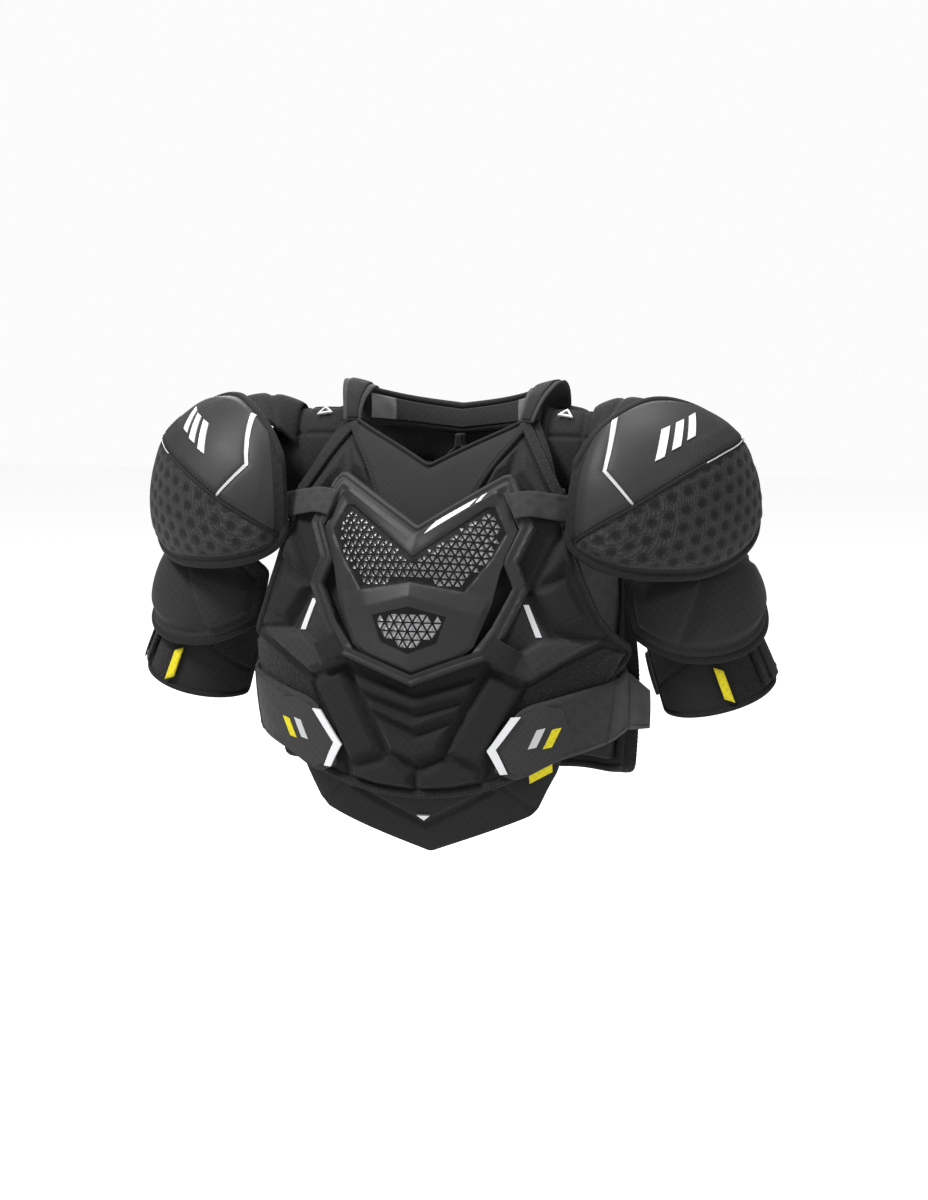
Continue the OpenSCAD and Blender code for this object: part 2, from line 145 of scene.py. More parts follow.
def rgba(value, tint=(1, 1, 1)):
    return (value * tint[0], value * tint[1], value * tint[2], 1)


def woven(name, value, pitch=1.0, depth=0.25, sheen=0.25, tint=(1, 1, 1.03), wear=0.25):
    """Plain woven cloth: two crossed thread waves, patchy tone and a soft sheen. pitch and depth in mm."""
    n = Nodes(name)
    threads = []
    for turn in (45, -45):
        along = n.scaled((1, 1, 1), (math.radians(20), math.radians(turn), 0))
        wave = n.add("ShaderNodeTexWave", {"Vector": along, "Scale": 1000 / pitch / 20, "Distortion": 0.3,
                                           "Detail": 1.0}, wave_type="BANDS", bands_direction="X")
        threads.append(wave.outputs["Fac"])
    cloth = n.math("MAXIMUM", threads[0], threads[1])
    patch = n.noise(28.0, 4.0)
    fuzz = n.noise(1400.0, 2.0)
    tone = n.math("MULTIPLY", n.ramp(cloth, 0.82, 1.12), n.ramp(patch, 1 - wear, 1 + wear))
    color = n.mix(n.math("MULTIPLY", tone, 0.5), rgba(value * 0.45, tint), rgba(value * 1.7, tint))
    n.bump(n.math("ADD", cloth, n.math("MULTIPLY", fuzz, 0.6)), 0.7, depth * MM)
    return n.finish(color, n.ramp(patch, 0.72, 0.9), sheen, 0.2)


def napped(name, value, size=1.6):
    """Loop or brushed fabric with a tangled pile."""
    n = Nodes(name)
    pile = n.noise(1000 / size, 5.0, 0.75)
    curl = n.add("ShaderNodeTexVoronoi", {"Vector": n.place, "Scale": 1000 / size}).outputs["Distance"]
    tone = n.math("MULTIPLY", pile, n.ramp(curl, 0.6, 1.5))
    color = n.mix(tone, rgba(value * 0.25), rgba(value * 2.6))
    n.bump(n.math("ADD", pile, curl), 0.9, 0.9 * MM)
    return n.finish(color, 0.95, 0.3, 0.12)


def grained(name, value, size=1.1, rough=0.52):
    """Synthetic leather: fine cell grain under a semi-matt skin."""
    n = Nodes(name)
    cell = n.add("ShaderNodeTexVoronoi", {"Vector": n.place, "Scale": 1000 / size}, feature="SMOOTH_F1")
    broad = n.noise(35.0, 5.0)
    color = n.mix(broad, rgba(value * 0.75), rgba(value * 1.3))
    n.bump(n.math("ADD", cell.outputs["Distance"], n.math("MULTIPLY", n.noise(700.0), 0.5)), 0.45, 0.25 * MM)
    return n.finish(color, n.ramp(broad, rough - 0.06, rough + 0.12), 0.1, 0.3)


def moulded(name, value, rough=0.5, texture=0.08, tint=(1, 1, 1.02), gloss=0.5):
    """Matt injection-moulded plastic with a faint spark-eroded texture and rubbed tone."""
    n = Nodes(name)
    broad = n.noise(22.0, 6.0)
    fine = n.noise(2600.0, 2.0)
    color = n.mix(broad, rgba(value * 0.82, tint), rgba(value * 1.18, tint))
    n.bump(fine, 0.5, texture * MM)
    return n.finish(color, n.ramp(n.noise(60.0, 5.0), rough - 0.07, rough + 0.1), 0.0, gloss)


def honeycomb(name, value):
    """Open mesh cloth over dark foam cells. The piece's own "cell" values darken each cell."""
    n = Nodes(name)
    cell = n.add("ShaderNodeAttribute", attribute_name="cell").outputs["Fac"]
    knit = n.add("ShaderNodeTexVoronoi", {"Vector": n.place, "Scale": 1000 / 1.5, "Randomness": 0.3},
                 feature="F1").outputs["Distance"]
    glint = n.math("GREATER_THAN", knit, 0.52)
    tone = n.math("MULTIPLY", n.ramp(glint, 0.35, 1.5), n.ramp(n.noise(30.0), 0.75, 1.25))
    tone = n.math("MULTIPLY", tone, n.ramp(cell, 1.0, 0.16))
    color = n.mix(n.math("MULTIPLY", tone, 0.5), rgba(value * 0.2), rgba(value * 2.2))
    n.bump(knit, 0.8, 0.35 * MM)
    return n.finish(color, 0.75, 0.2, 0.25)


FABRIC = woven("FoamFabric", 0.0125, 0.9, 0.2, 0.12)
GUARD = woven("GuardFabric", 0.02, 0.9, 0.2, 0.2)
GUSSET = woven("GussetKnit", 0.015, 0.7, 0.1, 0.12)
FABRIC_SIDE = woven("SidePanelFabric", 0.028, 1.0, 0.22, 0.2)
BINDING = woven("BindingTape", 0.012, 1.3, 0.35, 0.12)
KNIT = woven("CharcoalKnit", 0.032, 0.7, 0.15, 0.3)
WEBBING = woven("ElasticWebbing", 0.03, 1.8, 0.5, 0.25)
LINING = woven("BrushedLining", 0.03, 2.2, 0.6, 0.4)
GREY_KNIT = woven("GreySpacerKnit", 0.16, 2.4, 0.8, 0.4, (1, 1, 1), 0.12)
LOOP = napped("LoopFabric", 0.012)
SKIN = grained("CapSkin", 0.02)
HONEYCOMB = honeycomb("HoneycombMesh", 0.026)
PLATE = moulded("PlatePlastic", 0.02, 0.5, gloss=0.3)
LATTICE = moulded("PlateLattice", 0.008, 0.6, gloss=0.12)
RIM = moulded("RimRubber", 0.018, 0.55, gloss=0.3)
INSERT = moulded("InsertPlastic", 0.11, 0.45)
SCREEN = moulded("ScreenSilver", 0.85, 0.5, 0.05)
WHITE = moulded("WhitePrint", 0.72, 0.4, 0.03)
SILVER = moulded("SilverFilm", 0.5, 0.3, 0.03)
YELLOW = woven("YellowLabel", 0.62, 0.8, 0.2, 0.2, (1.0, 0.86, 0.03), 0.08)
THREAD = woven("Thread", 0.03, 0.5, 0.1, 0.3)

# ---------------------------------------------------------------- curves and meshes


def curve(k, points):
    """Smooth curve through (key, value) points with rising keys, flat beyond its ends. k may be an array."""
    keys = np.array([p[0] for p in points], float)
    vals = np.array([p[1] for p in points], float)
    last = len(keys) - 1
    low = np.maximum(np.arange(last + 1) - 1, 0)
    high = np.minimum(np.arange(last + 1) + 1, last)
    slope = (vals[high] - vals[low]) / (keys[high] - keys[low])
    t = np.clip(k, keys[0], keys[-1])
    i = np.clip(np.searchsorted(keys, t, side="right") - 1, 0, last - 1)
    h = keys[i + 1] - keys[i]
    s = (t - keys[i]) / h
    return (vals[i] * (1 + 2 * s) * (1 - s) ** 2 + vals[i + 1] * s * s * (3 - 2 * s)
            + h * (slope[i] * s * (1 - s) ** 2 - slope[i + 1] * s * s * (1 - s)))


def line(k, points):
    return np.interp(k, [p[0] for p in points], [p[1] for p in points])


def smooth(t):
    t = np.clip(t, 0, 1)
    return t * t * (3 - 2 * t)


def unit(v):
    return v / np.maximum(np.linalg.norm(v, axis=-1, keepdims=True), 1e-9)


def sided(points, side):
    """Points of the wearer's left, mirrored to their right where side is -1."""
    return points * np.array([side, 1, 1])


def new_mesh(name, points, faces, materials, face_material=None):
    """An object from millimetre points."""
    mesh = bpy.data.meshes.new(name)
    mesh.from_pydata((np.asarray(points, float) * MM).tolist(), [], faces)
    for m in materials:
        mesh.materials.append(m)
    if face_material is not None:
        mesh.polygons.foreach_set("material_index", np.asarray(face_material, np.int32))
    mesh.polygons.foreach_set("use_smooth", np.ones(len(mesh.polygons), bool))
    mesh.validate()
    mesh.update()
    obj = bpy.data.objects.new(name, mesh)
    bpy.context.scene.collection.objects.link(obj)
    return obj


def place(obj, body, slot, *nodes):
    """Ties a piece to its CAD body and hides the CAD nodes that it stands for. slot is not used."""
    if nodes:
        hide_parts(*nodes)
    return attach(obj, body)


def slab(name, outer, inner, materials, zone=None, side=1, flip=False):
    """A closed pad between two grids of points, mirrored where side is -1. zone picks the material of each
    outer cell."""
    nc, nr = outer.shape[:2]
    n = nc * nr
    across, up = np.arange(nc - 1) * nr, np.arange(nr - 1)
    corner = (across[:, None] + up).reshape(-1)
    top = np.stack([corner, corner + nr, corner + nr + 1, corner + 1], -1)
    foot = np.stack([across, across + n, across + nr + n, across + nr], -1)
    head = np.stack([across, across + nr, across + nr + n, across + n], -1) + nr - 1
    start = np.stack([up, up + 1, up + 1 + n, up + n], -1)
    end = np.stack([up, up + n, up + 1 + n, up + 1], -1) + (nc - 1) * nr
    faces = np.concatenate([top, top[:, ::-1] + n, foot, head, start, end])
    if flip:
        faces = faces[:, ::-1]
    pick = np.zeros(len(faces), int)
    if zone is not None:
        pick[:len(top)] = zone[:-1, :-1].reshape(-1)
    points = np.concatenate([outer.reshape(-1, 3), inner.reshape(-1, 3)])
    return tidy_normals(new_mesh(name, sided(points, side), faces.tolist(), materials, pick))


def measured(path):
    """How far along a path each of its points is."""
    return np.concatenate([[0], np.cumsum(np.linalg.norm(np.diff(path, axis=0), axis=1))])


def points_at(far, length, values):
    return np.stack([np.interp(far, length, values[:, k]) for k in range(3)], -1)


def resample(path, step, closed=False):
    """Points at even steps along a polyline, in mm."""
    p = np.asarray(path, float)
    if closed:
        p = np.concatenate([p, p[:1]])
    length = measured(p)
    count = max(int(round(length[-1] / step)), 3)
    out = points_at(np.linspace(0, length[-1], count + 1), length, p)
    return out[:-1] if closed else out


def soften(path, passes, closed=False):
    """Rounds a path's corners."""
    p = np.array(path, float)
    for _ in range(passes):
        if closed:
            p = (np.roll(p, 1, 0) + 2 * p + np.roll(p, -1, 0)) / 4
        else:
            p[1:-1] = (p[:-2] + 2 * p[1:-1] + p[2:]) / 4
    return p


def frames(path, normals, closed=False):
    """Tangent, side and outward directions along a path whose outward normals are given."""
    if closed:
        tangent = unit(np.roll(path, -1, 0) - np.roll(path, 1, 0))
    else:
        tangent = unit(np.gradient(path, axis=0))
    side = unit(np.cross(tangent, normals))
    return tangent, side, unit(np.cross(side, tangent))


def sweep(name, path, normals, section, materials, closed=False):
    """Sweeps a closed section of (side, outward) points along a path."""
    _, side, out = frames(path, normals, closed)
    section = np.asarray(section, float)
    points = (path[:, None] + side[:, None] * section[None, :, :1] + out[:, None] * section[None, :, 1:])
    n, m = points.shape[:2]
    i, j = np.meshgrid(np.arange(n if closed else n - 1), np.arange(m), indexing="ij")
    a, b = (i + 1) % n, (j + 1) % m
    faces = np.stack([i * m + j, a * m + j, a * m + b, i * m + b], -1).reshape(-1, 4).tolist()
    if not closed:
        faces.append(list(range(m)))
        faces.append(list(range(n * m - 1, n * m - m - 1, -1)))
    return tidy_normals(new_mesh(name, points.reshape(-1, 3), faces, materials))


def cord(name, path, normals, section, material, body, slot, *nodes, closed=False):
    """A band, tape or cord swept along a path and tied to its body."""
    return place(sweep(name, path, normals, section, [material], closed), body, slot, *nodes)


def tidy_normals(obj):
    """Turns every face outward."""
    bm = bmesh.new()
    bm.from_mesh(obj.data)
    bmesh.ops.recalc_face_normals(bm, faces=bm.faces)
    bm.to_mesh(obj.data)
    bm.free()
    return obj


def oval(width, height, count=12, power=1.0, lift=0.0):
    """Section points of a rounded band, power below 1 squares it."""
    a = np.linspace(0, 2 * math.pi, count, endpoint=False)
    c, s = np.cos(a), np.sin(a)
    return np.stack([width / 2 * np.sign(c) * np.abs(c) ** power,
                     height / 2 * np.sign(s) * np.abs(s) ** power + lift], -1)


def stitches(name, path, normals, body, slot, radius=0.45):
    """A row of thread stitches lying along a path."""
    step, length, around = 4.2, 2.7, 5
    path = np.asarray(path, float)
    far = measured(path)
    at = np.arange(step / 2, far[-1] - step / 2, step)
    middle = points_at(at, far, path)
    out = unit(points_at(at, far, normals))
    tangent = unit(points_at(at + 0.5, far, path) - middle)
    side = unit(np.cross(tangent, out))
    ring = [(math.cos(a), math.sin(a)) for a in np.linspace(0, 2 * math.pi, around, endpoint=False)]
    profile = [(-0.5, 0.35), (-0.3, 1.0), (0.3, 1.0), (0.5, 0.35)]
    points, faces = [], []
    for m, n, t, s in zip(middle, out, tangent, side):
        base = len(points)
        points += [m + t * ahead * length + (s * c + n * d) * radius * swell
                   for ahead, swell in profile for c, d in ring]
        for a in range(base, base + 3 * around, around):
            faces += [[a + b, a + (b + 1) % around, a + (b + 1) % around + around, a + b + around]
                      for b in range(around)]
        faces.append([base + b for b in range(around - 1, -1, -1)])
        faces.append([base + 3 * around + b for b in range(around)])
    return place(new_mesh(name, points, faces, [THREAD]), body, slot)


# ---------------------------------------------------------------- flat outlines laid on a form


def edge_distance(x, z, loop, closed=True):
    """Distance from points to a polyline, and for a closed one whether each point is inside."""
    p = np.asarray(loop, float)
    q = np.roll(p, -1, 0) if closed else p[1:]
    p = p if closed else p[:-1]
    best = np.full(np.shape(x), 1e9)
    inside = np.zeros(np.shape(x), bool)
    for (ax, az), (bx, bz) in zip(p, q):
        dx, dz = bx - ax, bz - az
        t = np.clip(((x - ax) * dx + (z - az) * dz) / max(dx * dx + dz * dz, 1e-9), 0, 1)
        best = np.minimum(best, np.hypot(x - ax - t * dx, z - az - t * dz))
        if closed and az != bz:
            inside ^= ((az > z) != (bz > z)) & (x < (bx - ax) * (z - az) / (bz - az) + ax)
    return best, inside


def depth_in(x, z, loop):
    """Distance inside a closed outline, negative outside it."""
    far, inside = edge_distance(x, z, loop)
    return np.where(inside, far, -far)


def block(x, z, loop, height, bevel):
    """A raised area with sloping edges."""
    return height * smooth(depth_in(x, z, loop) / bevel)


def raised(x, z, blocks):
    """The highest of some blocks at each point, from (outline, height, bevel) rows."""
    h = np.zeros_like(z)
    for loop, height, bevel in blocks:
        h = np.maximum(h, block(x, z, loop, height, bevel))
    return h


def groove(x, z, path, depth, width):
    far, _ = edge_distance(x, z, path, closed=False)
    return -depth * np.exp(-(far / width) ** 2)


def whole(half):
    """A symmetrical outline from its right half, which runs from the mid-line to the mid-line."""
    left = [(-x, z) for x, z in reversed(half) if x > 0]
    return list(half) + left


def divided(loop, step, closed=True):
    p = np.asarray(loop, float)
    q = np.roll(p, -1, 0) if closed else p[1:]
    out = []
    for a, b in zip(p, q):
        count = max(int(math.ceil(np.linalg.norm(b - a) / step)), 1)
        out += [a + (b - a) * k / count for k in range(count)]
    if not closed:
        out.append(p[-1])
    return out


def filled(outline, holes, creases, step):
    """Triangles that fill an outline round its holes, with edges along the creases."""
    points, edges = [], []
    for loop in [outline] + list(holes):
        ring = divided(loop, step)
        base = len(points)
        points += ring
        edges += [(base + k, base + (k + 1) % len(ring)) for k in range(len(ring))]
    for path in creases:
        run = divided(path, step, False)
        base = len(points)
        points += run
        edges += [(base + k, base + k + 1) for k in range(len(run) - 1)]
    low, high = np.min(outline, 0), np.max(outline, 0)
    rows = np.arange(low[1] + step / 2, high[1], step * 0.87)
    grid = np.array([(x + (k % 2) * step / 2, z) for k, z in enumerate(rows)
                     for x in np.arange(low[0] + step / 3, high[0], step)])
    clear = np.full(len(grid), 1e9)
    for loop in [outline] + list(holes):
        clear = np.minimum(clear, edge_distance(grid[:, 0], grid[:, 1], loop)[0])
    for path in creases:
        clear = np.minimum(clear, edge_distance(grid[:, 0], grid[:, 1], path, False)[0])
    points += list(grid[clear > step * 0.45])
    made = delaunay_2d_cdt([Vector(p) for p in points], edges, [], 0, 1e-4)
    xz = np.array([tuple(v) for v in made[0]])
    tris = np.array([f for f in made[2] if len(f) == 3])
    mid = xz[tris].mean(1)
    keep = edge_distance(mid[:, 0], mid[:, 1], outline)[1]
    for loop in holes:
        near = np.all((mid > np.min(loop, 0)) & (mid < np.max(loop, 0)), axis=1) & keep
        keep[near] &= ~edge_distance(mid[near, 0], mid[near, 1], loop)[1]
    area = np.cross(xz[tris[:, 1]] - xz[tris[:, 0]], xz[tris[:, 2]] - xz[tris[:, 0]])
    tris[area < 0] = tris[area < 0][:, ::-1]
    return xz, tris[keep & (np.abs(area) > 1e-6)]


def value(rule, *where):
    """A rule's value at some points: the rule is a number or a function of them."""
    return rule(*where) if callable(rule) else rule


def cut_sheet(name, form, outline, depth, thickness, materials, holes=(), creases=(), step=4.0,
              pick=None, sharp=35):
    """A sheet cut to an outline and laid on form(x, z, d). depth is its outer face's distance and thickness
    a number, or a rule for the inner face's distance. Edges sharper than sharp degrees stay crisp."""
    xz, tris = filled(outline, holes, creases, step)
    used = np.unique(tris)
    renumber = np.zeros(len(xz), int)
    renumber[used] = np.arange(len(used))
    xz, tris = xz[used], renumber[tris]
    x, z = xz.T
    d = value(depth, x, z) * np.ones(len(xz))
    back = thickness(x, z, d) if callable(thickness) else d - thickness
    n = len(xz)
    outer, inner = form(x, z, d), form(x, z, back)
    sides = np.concatenate([tris[:, [0, 1]], tris[:, [1, 2]], tris[:, [2, 0]]])
    twin = {tuple(e) for e in sides.tolist()}
    rim = [(a, b) for a, b in sides.tolist() if (b, a) not in twin]
    faces = tris.tolist() + (tris[:, ::-1] + n).tolist() + [[b, a, a + n, b + n] for a, b in rim]
    choice = np.zeros(len(faces), int)
    if pick is not None:
        mid = xz[tris].mean(1)
        choice[:len(tris)] = pick(mid[:, 0], mid[:, 1])
    sheet = tidy_normals(new_mesh(name, np.concatenate([outer, inner]), faces, materials, choice))
    sheet.data.set_sharp_from_angle(angle=math.radians(sharp))
    return sheet


# ---------------------------------------------------------------- the trunk's form

CHEST_N, BACK_N = 2.5, 3.0
LINER_T, AIR, FOAM_T = 3.0, 1.2, 10.0
FOAM_IN = LINER_T + AIR
FOAM_OUT = FOAM_IN + FOAM_T
NOMINAL = 174 - FOAM_OUT
CHEST_D, BACK_D = 128 - FOAM_OUT, 104 - FOAM_OUT
CHEST_W = [(0, 128), (60, 136), (125, 152), (190, NOMINAL), (260, 166), (330, 168), (420, 168)]
BACK_W = [(0, 150), (66, 157), (125, 160), (190, NOMINAL), (260, 166), (330, 168), (420, 168)]
CHEST_Y = [(0, 72), (40, 96), (74, CHEST_D - 2), (120, CHEST_D), (190, CHEST_D - 2), (250, 103), (300, 86),
           (345, 60), (372, 34), (392, 10)]
BACK_Y = [(0, 78), (60, BACK_D - 4), (150, BACK_D), (250, BACK_D - 5), (330, 72), (370, 58), (400, 48),
          (430, 40)]


def trunk(t, z, side):
    power = 2 / (CHEST_N if side < 0 else BACK_N)
    wide = curve(z, CHEST_W if side < 0 else BACK_W)
    deep = curve(z, CHEST_Y if side < 0 else BACK_Y)
    return np.stack([np.sign(t) * wide * np.abs(np.sin(t)) ** power,
                     side * deep * np.abs(np.cos(t)) ** power, z + 0 * t], -1)


def on_trunk(x, z, d, side):
    """Points d outside the wearer on the front (side -1) or back (side 1), with the outward direction."""
    x, z, d = np.broadcast_arrays(np.asarray(x, float), np.asarray(z, float), np.asarray(d, float))
    power = (CHEST_N if side < 0 else BACK_N) / 2
    t = np.sign(x) * np.arcsin(np.minimum(np.abs(x) / NOMINAL, 1) ** power)
    a = np.clip(t, -math.radians(88), math.radians(88))
    e = math.radians(1)
    normal = -side * unit(np.cross(trunk(a + e, z, side) - trunk(a - e, z, side),
                                   trunk(a, z + 1, side) - trunk(a, z - 1, side)))
    return trunk(t, z, side) + d[..., None] * normal, normal


def front(x, z, d):
    return on_trunk(x, z, d, -1)[0]


def rear(x, z, d):
    return on_trunk(x, z, d, 1)[0]


def columns(low, high, xs, rows):
    """A grid of (x, z) between a lower and an upper edge."""
    lo, hi = low(xs), high(xs)
    s = np.linspace(0, 1, rows)
    return np.repeat(xs[:, None], rows, 1), lo[:, None] + (hi - lo)[:, None] * s[None]


def panel(name, side, low, high, xs, rows, outer, inner, materials, zone=None):
    """A foam panel of the front or back. outer and inner are distances from the wearer."""
    x, z = columns(low, high, xs, rows)
    face = on_trunk(x, z, value(outer, x, z), side)[0]
    back = on_trunk(x, z, inner, side)[0]
    cells = zone(x, z) if zone else None
    return slab(name, face, back, materials, cells, flip=side > 0)


def edge_path(side, outline, d, step=3.0, rounds=3, closed=True):
    """A path along an (x, z) outline, with outward directions."""
    p = np.array(divided(outline, step, closed))
    xyz, normal = on_trunk(p[:, 0], p[:, 1], d, side)
    return soften(xyz, rounds, closed), normal


def binding(name, side, outline, d, body, width=8.5, height=12.5, closed=True, rounds=3, sewn=True):
    """Tape sewn round a foam edge, with its row of stitches."""
    path, normal = edge_path(side, outline, d, 3.0, rounds, closed)
    cord(name, path, normal, oval(width, height, 14, 0.75), BINDING, body, "foam_fabric", closed=closed)
    if sewn:
        path, normal = edge_path(side, outline, d + height / 2 - 0.2, 3.0, rounds, closed)
        stitches(name + "_stitches", path, normal, body, "foam_fabric")


# ---------------------------------------------------------------- front panel

CHEST_HALF = 158.5
NECK_X, NECK_Z, NECK_TOP = 84, 345, 386
CHEST_LOW = [(0, 74), (40, 77), (80, 86), (108, 102), (128, 130), (144, 160), (CHEST_HALF, 184)]
CHEST_HIGH = [(0, NECK_Z), (NECK_X, NECK_TOP), (98, 358), (108, 330), (114, 296), (124, 262), (138, 226),
              (150, 206), (CHEST_HALF, 194)]


def chest_low(x):
    return curve(np.abs(x), CHEST_LOW)


def chest_high(x):
    return line(np.abs(x), CHEST_HIGH)


# Raised foam blocks, grooves and folds of the moulded front, on the wearer's left half
CHEST_BLOCKS = [
    ([(62, 182), (92, 168), (61, 97), (28, 109)], 8.0, 7),
    ([(62, 187), (101, 210), (142, 206), (93, 173)], 6.8, 6),
    ([(91, 247), (116, 261), (132, 226), (112, 214)], 6.6, 6),
    ([(114, 300), (93, 250), (113, 264), (121, 270)], 5.0, 5),
    ([(76, 360), (108, 318), (109, 304), (92, 312), (70, 340)], 6.0, 7),
    ([(53, 346), (73, 366), (68, 340), (46, 326)], 5.6, 6),
    ([(2, 93), (25, 104), (60, 95), (63, 86), (38, 80), (2, 77)], 7.0, 7),
]
CHEST_BANDS = [
    ([(0, 128), (40, 145), (46, 156), (0, 141)], 7.4, 5.5),
    ([(0, 145), (49, 161), (58, 178), (0, 160)], 7.4, 5.5),
    ([(0, 100), (23, 109), (37, 139), (0, 124)], 7.6, 6.5),
]
WEDGE = [(62, 186), (25, 106), (0, 96)]
SIDE_FIELD = [(87, 240), (105, 210), (143, 206), (93, 172), (61, 184), (76, 205)]
BELT_FIELD = [(70, 104), (78, 130), (91, 169), (143, 200), (158, 194), (158, 178), (130, 120), (90, 90)]
SEAMS = [[(89, 246), (110, 213), (146, 207)], [(114, 302), (89, 246)], [(92, 171), (72, 128), (66, 88)]]


def chest_relief(x, z):
    ax = np.abs(x)
    bands = [(whole(loop), height, bevel) for loop, height, bevel in CHEST_BANDS]
    h = np.maximum(raised(ax, z, CHEST_BLOCKS), raised(x, z, bands))
    h += groove(ax, z, WEDGE, 3.4, 3.0)
    for path in SEAMS:
        h += groove(ax, z, path, 3.0, 2.4)
    h += groove(x, z, [(0, 96), (0, 70)], 2.6, 1.8)
    under_plate = smooth(depth_in(x, z, whole(RIM_OUT)) / 6 + 1.6)
    h = h * (1 - under_plate) + np.minimum(h, 2.6) * under_plate
    border = np.minimum(z - chest_low(x), chest_high(x) - z)
    border = np.minimum(border, 160 - ax)
    edge = smooth(border / 9)
    patch = depth_in(ax, z, BELT_FIELD)
    h = np.where(patch > 0, h * (1 - smooth(patch / 4)), h)
    return FOAM_OUT - 2.6 + (h + 2.0) * edge - 0.4


def chest_panel():
    top = lambda x: chest_high(x) - 5 * smooth((NECK_X - np.abs(x)) / 6)
    xs = np.linspace(-CHEST_HALF, CHEST_HALF, 290)
    field = lambda x, z: (depth_in(np.abs(x), z, SIDE_FIELD) > 0).astype(int)
    foam = panel("chest_panel_foam", -1, chest_low, top, xs, 250, chest_relief, FOAM_IN,
                 [FABRIC, FABRIC_SIDE], field)
    place(foam, "front", "foam_fabric", "chest_panel")
    half = CHEST_HIGH[1:] + [(x, float(chest_low(x))) for x in np.linspace(CHEST_HALF, 0, 60)]
    loop = half + [(-x, z) for x, z in reversed(half)]
    binding("chest_binding", -1, loop[2:-2], FOAM_IN + 5, "front", closed=False)


def chest_marks(side, word):
    """Tapes that run from a shoulder down beside the neck and the arm hole, and a printed bar."""
    flip = lambda points: [(side * x, z) for x, z in points]
    tapes = {"outer": ([(74, 379), (92, 350), (108, 322), (113, 300)], 10),
             "inner": ([(74, 377), (60, 358), (48, 342), (40, 326), (36, 318)], 8)}
    for part, (points, width) in tapes.items():
        name = f"chest_tape_{part}_{word}"
        path, normal = edge_path(-1, flip(points), FOAM_OUT + 1.6, 3, 6, False)
        cord(name, path, normal, oval(width, 3.4, 12, 0.6), BINDING, "front", "foam_fabric")
        _, across, out = frames(path, normal)
        for off in (-1, 1):
            row = path + across * off * (width / 2 - 1.6) + out * 1.5
            stitches(f"{name}_sew{off + 1}", row, normal, "front", "foam_fabric", 0.4)
    loop = flip([(86, 237), (90, 237), (101.4, 210), (96.9, 210)])[::side]
    above = lambda x, z: chest_relief(x, z) + 1.0
    bar = cut_sheet(f"chest_bar_{word}", front, loop, above, 1.2, [WHITE], step=3)
    place(bar, "front", "white_print")


def chest_liner():
    xs = np.linspace(-142, 142, 70)
    low, high = lambda x: chest_low(x) + 6, lambda x: chest_high(x) - 22
    liner = panel("chest_lining", -1, low, high, xs, 60, LINER_T, 0.0, [LINING])
    place(liner, "front", "lining", "chest_liner")


BIB_LOW = [(0, 292), (28, 306), (36, 318), (42, 330), (50, 345), (62, 360), (78, 380)]


def neck_bib():
    """Smooth gusset from the V neck's edge down behind the chest plate."""
    xs = np.linspace(-79, 79, 90)
    v_edge = lambda x: NECK_Z + (NECK_TOP - NECK_Z) * np.abs(x) / NECK_X
    rise = FOAM_OUT + 1.2

    def outer(x, z):
        to_edge = v_edge(x) - z
        return rise + 2.2 * smooth(to_edge / 5) - 1.2 * smooth((12 - to_edge) / 12)

    gusset = panel("neck_gusset", -1, lambda x: line(np.abs(x), BIB_LOW), lambda x: v_edge(x) - 0.5, xs, 44,
                   outer, FOAM_OUT - 1.5, [GUSSET])
    place(gusset, "front", "charcoal_knit", "neck_bib")
    v_line = [(x, v_edge(x)) for x in (-82, 0, 82)]
    fold, normal = edge_path(-1, v_line, FOAM_OUT - 3.2, 2.5, 3, False)
    cord("neck_gusset_fold", fold, normal, oval(4.0, 13.0, 14, 0.7), GUSSET, "front", "charcoal_knit")


def loop_patch(side, word):
    """Napped field that takes the belt's hooks."""
    loop = [(74, 106), (80, 130), (93, 167), (120, 186), (143, 199), (156, 190), (150, 172), (132, 136),
            (112, 108), (90, 94)]
    nap = np.random.default_rng(7)

    def pile(x, z):
        tufts = np.sin(x * 2.1 + 3 * np.sin(z * 1.3)) * np.sin(z * 2.3 + 3 * np.sin(x * 1.1))
        return FOAM_OUT + 1.0 + 0.5 * tufts + nap.uniform(-0.45, 0.45, np.shape(x))

    patch = cut_sheet(f"loop_patch_{word}", front, [(side * x, z) for x, z in loop][::-side], pile,
                      lambda x, z, d: FOAM_OUT - 1.5, [LOOP], step=1.7, sharp=180)
    place(patch, "front", "loop_fabric", f"loop_patch_{word}")


def size_tag():
    """Blank woven label at the hem."""
    loop = [(101, 95), (117, 104), (119, 94), (103, 85)]
    label = cut_sheet("size_label", front, loop, FOAM_OUT + 1.6, 1.2, [YELLOW], step=3)
    place(label, "front", "yellow_label", "size_tag")


# ---------------------------------------------------------------- chest plate

PLATE_D = FOAM_OUT + 4
PLATE_EDGE = 93
RIM_OUT = [(0, 296), (64, 336), (70, 337), (76, 331), (92, 297), (81, 270), (89, 249), (74, 212),
           (62, 192), (0, 168)]
RIM_IN = [(0, 286), (60, 322), (66, 320), (79, 295), (69, 268), (77, 250), (63, 218), (49, 197), (0, 178)]
COVER = [(0, 291), (58, 326), (64, 324), (78, 294), (67, 262), (62, 236), (50, 202), (36, 189), (0, 174)]
UPPER_WINDOW = [(0, 270), (54, 310), (60, 311), (70, 291), (61, 272), (42, 245), (0, 251)]
LOWER_WINDOW = [(0, 233), (30, 226), (23, 205), (0, 196)]


def plate_crown(x):
    """How far the plate's rim plane bows out over the foam."""
    return 5 * (1 - (np.clip(np.abs(x), 0, PLATE_EDGE) / PLATE_EDGE) ** 2)


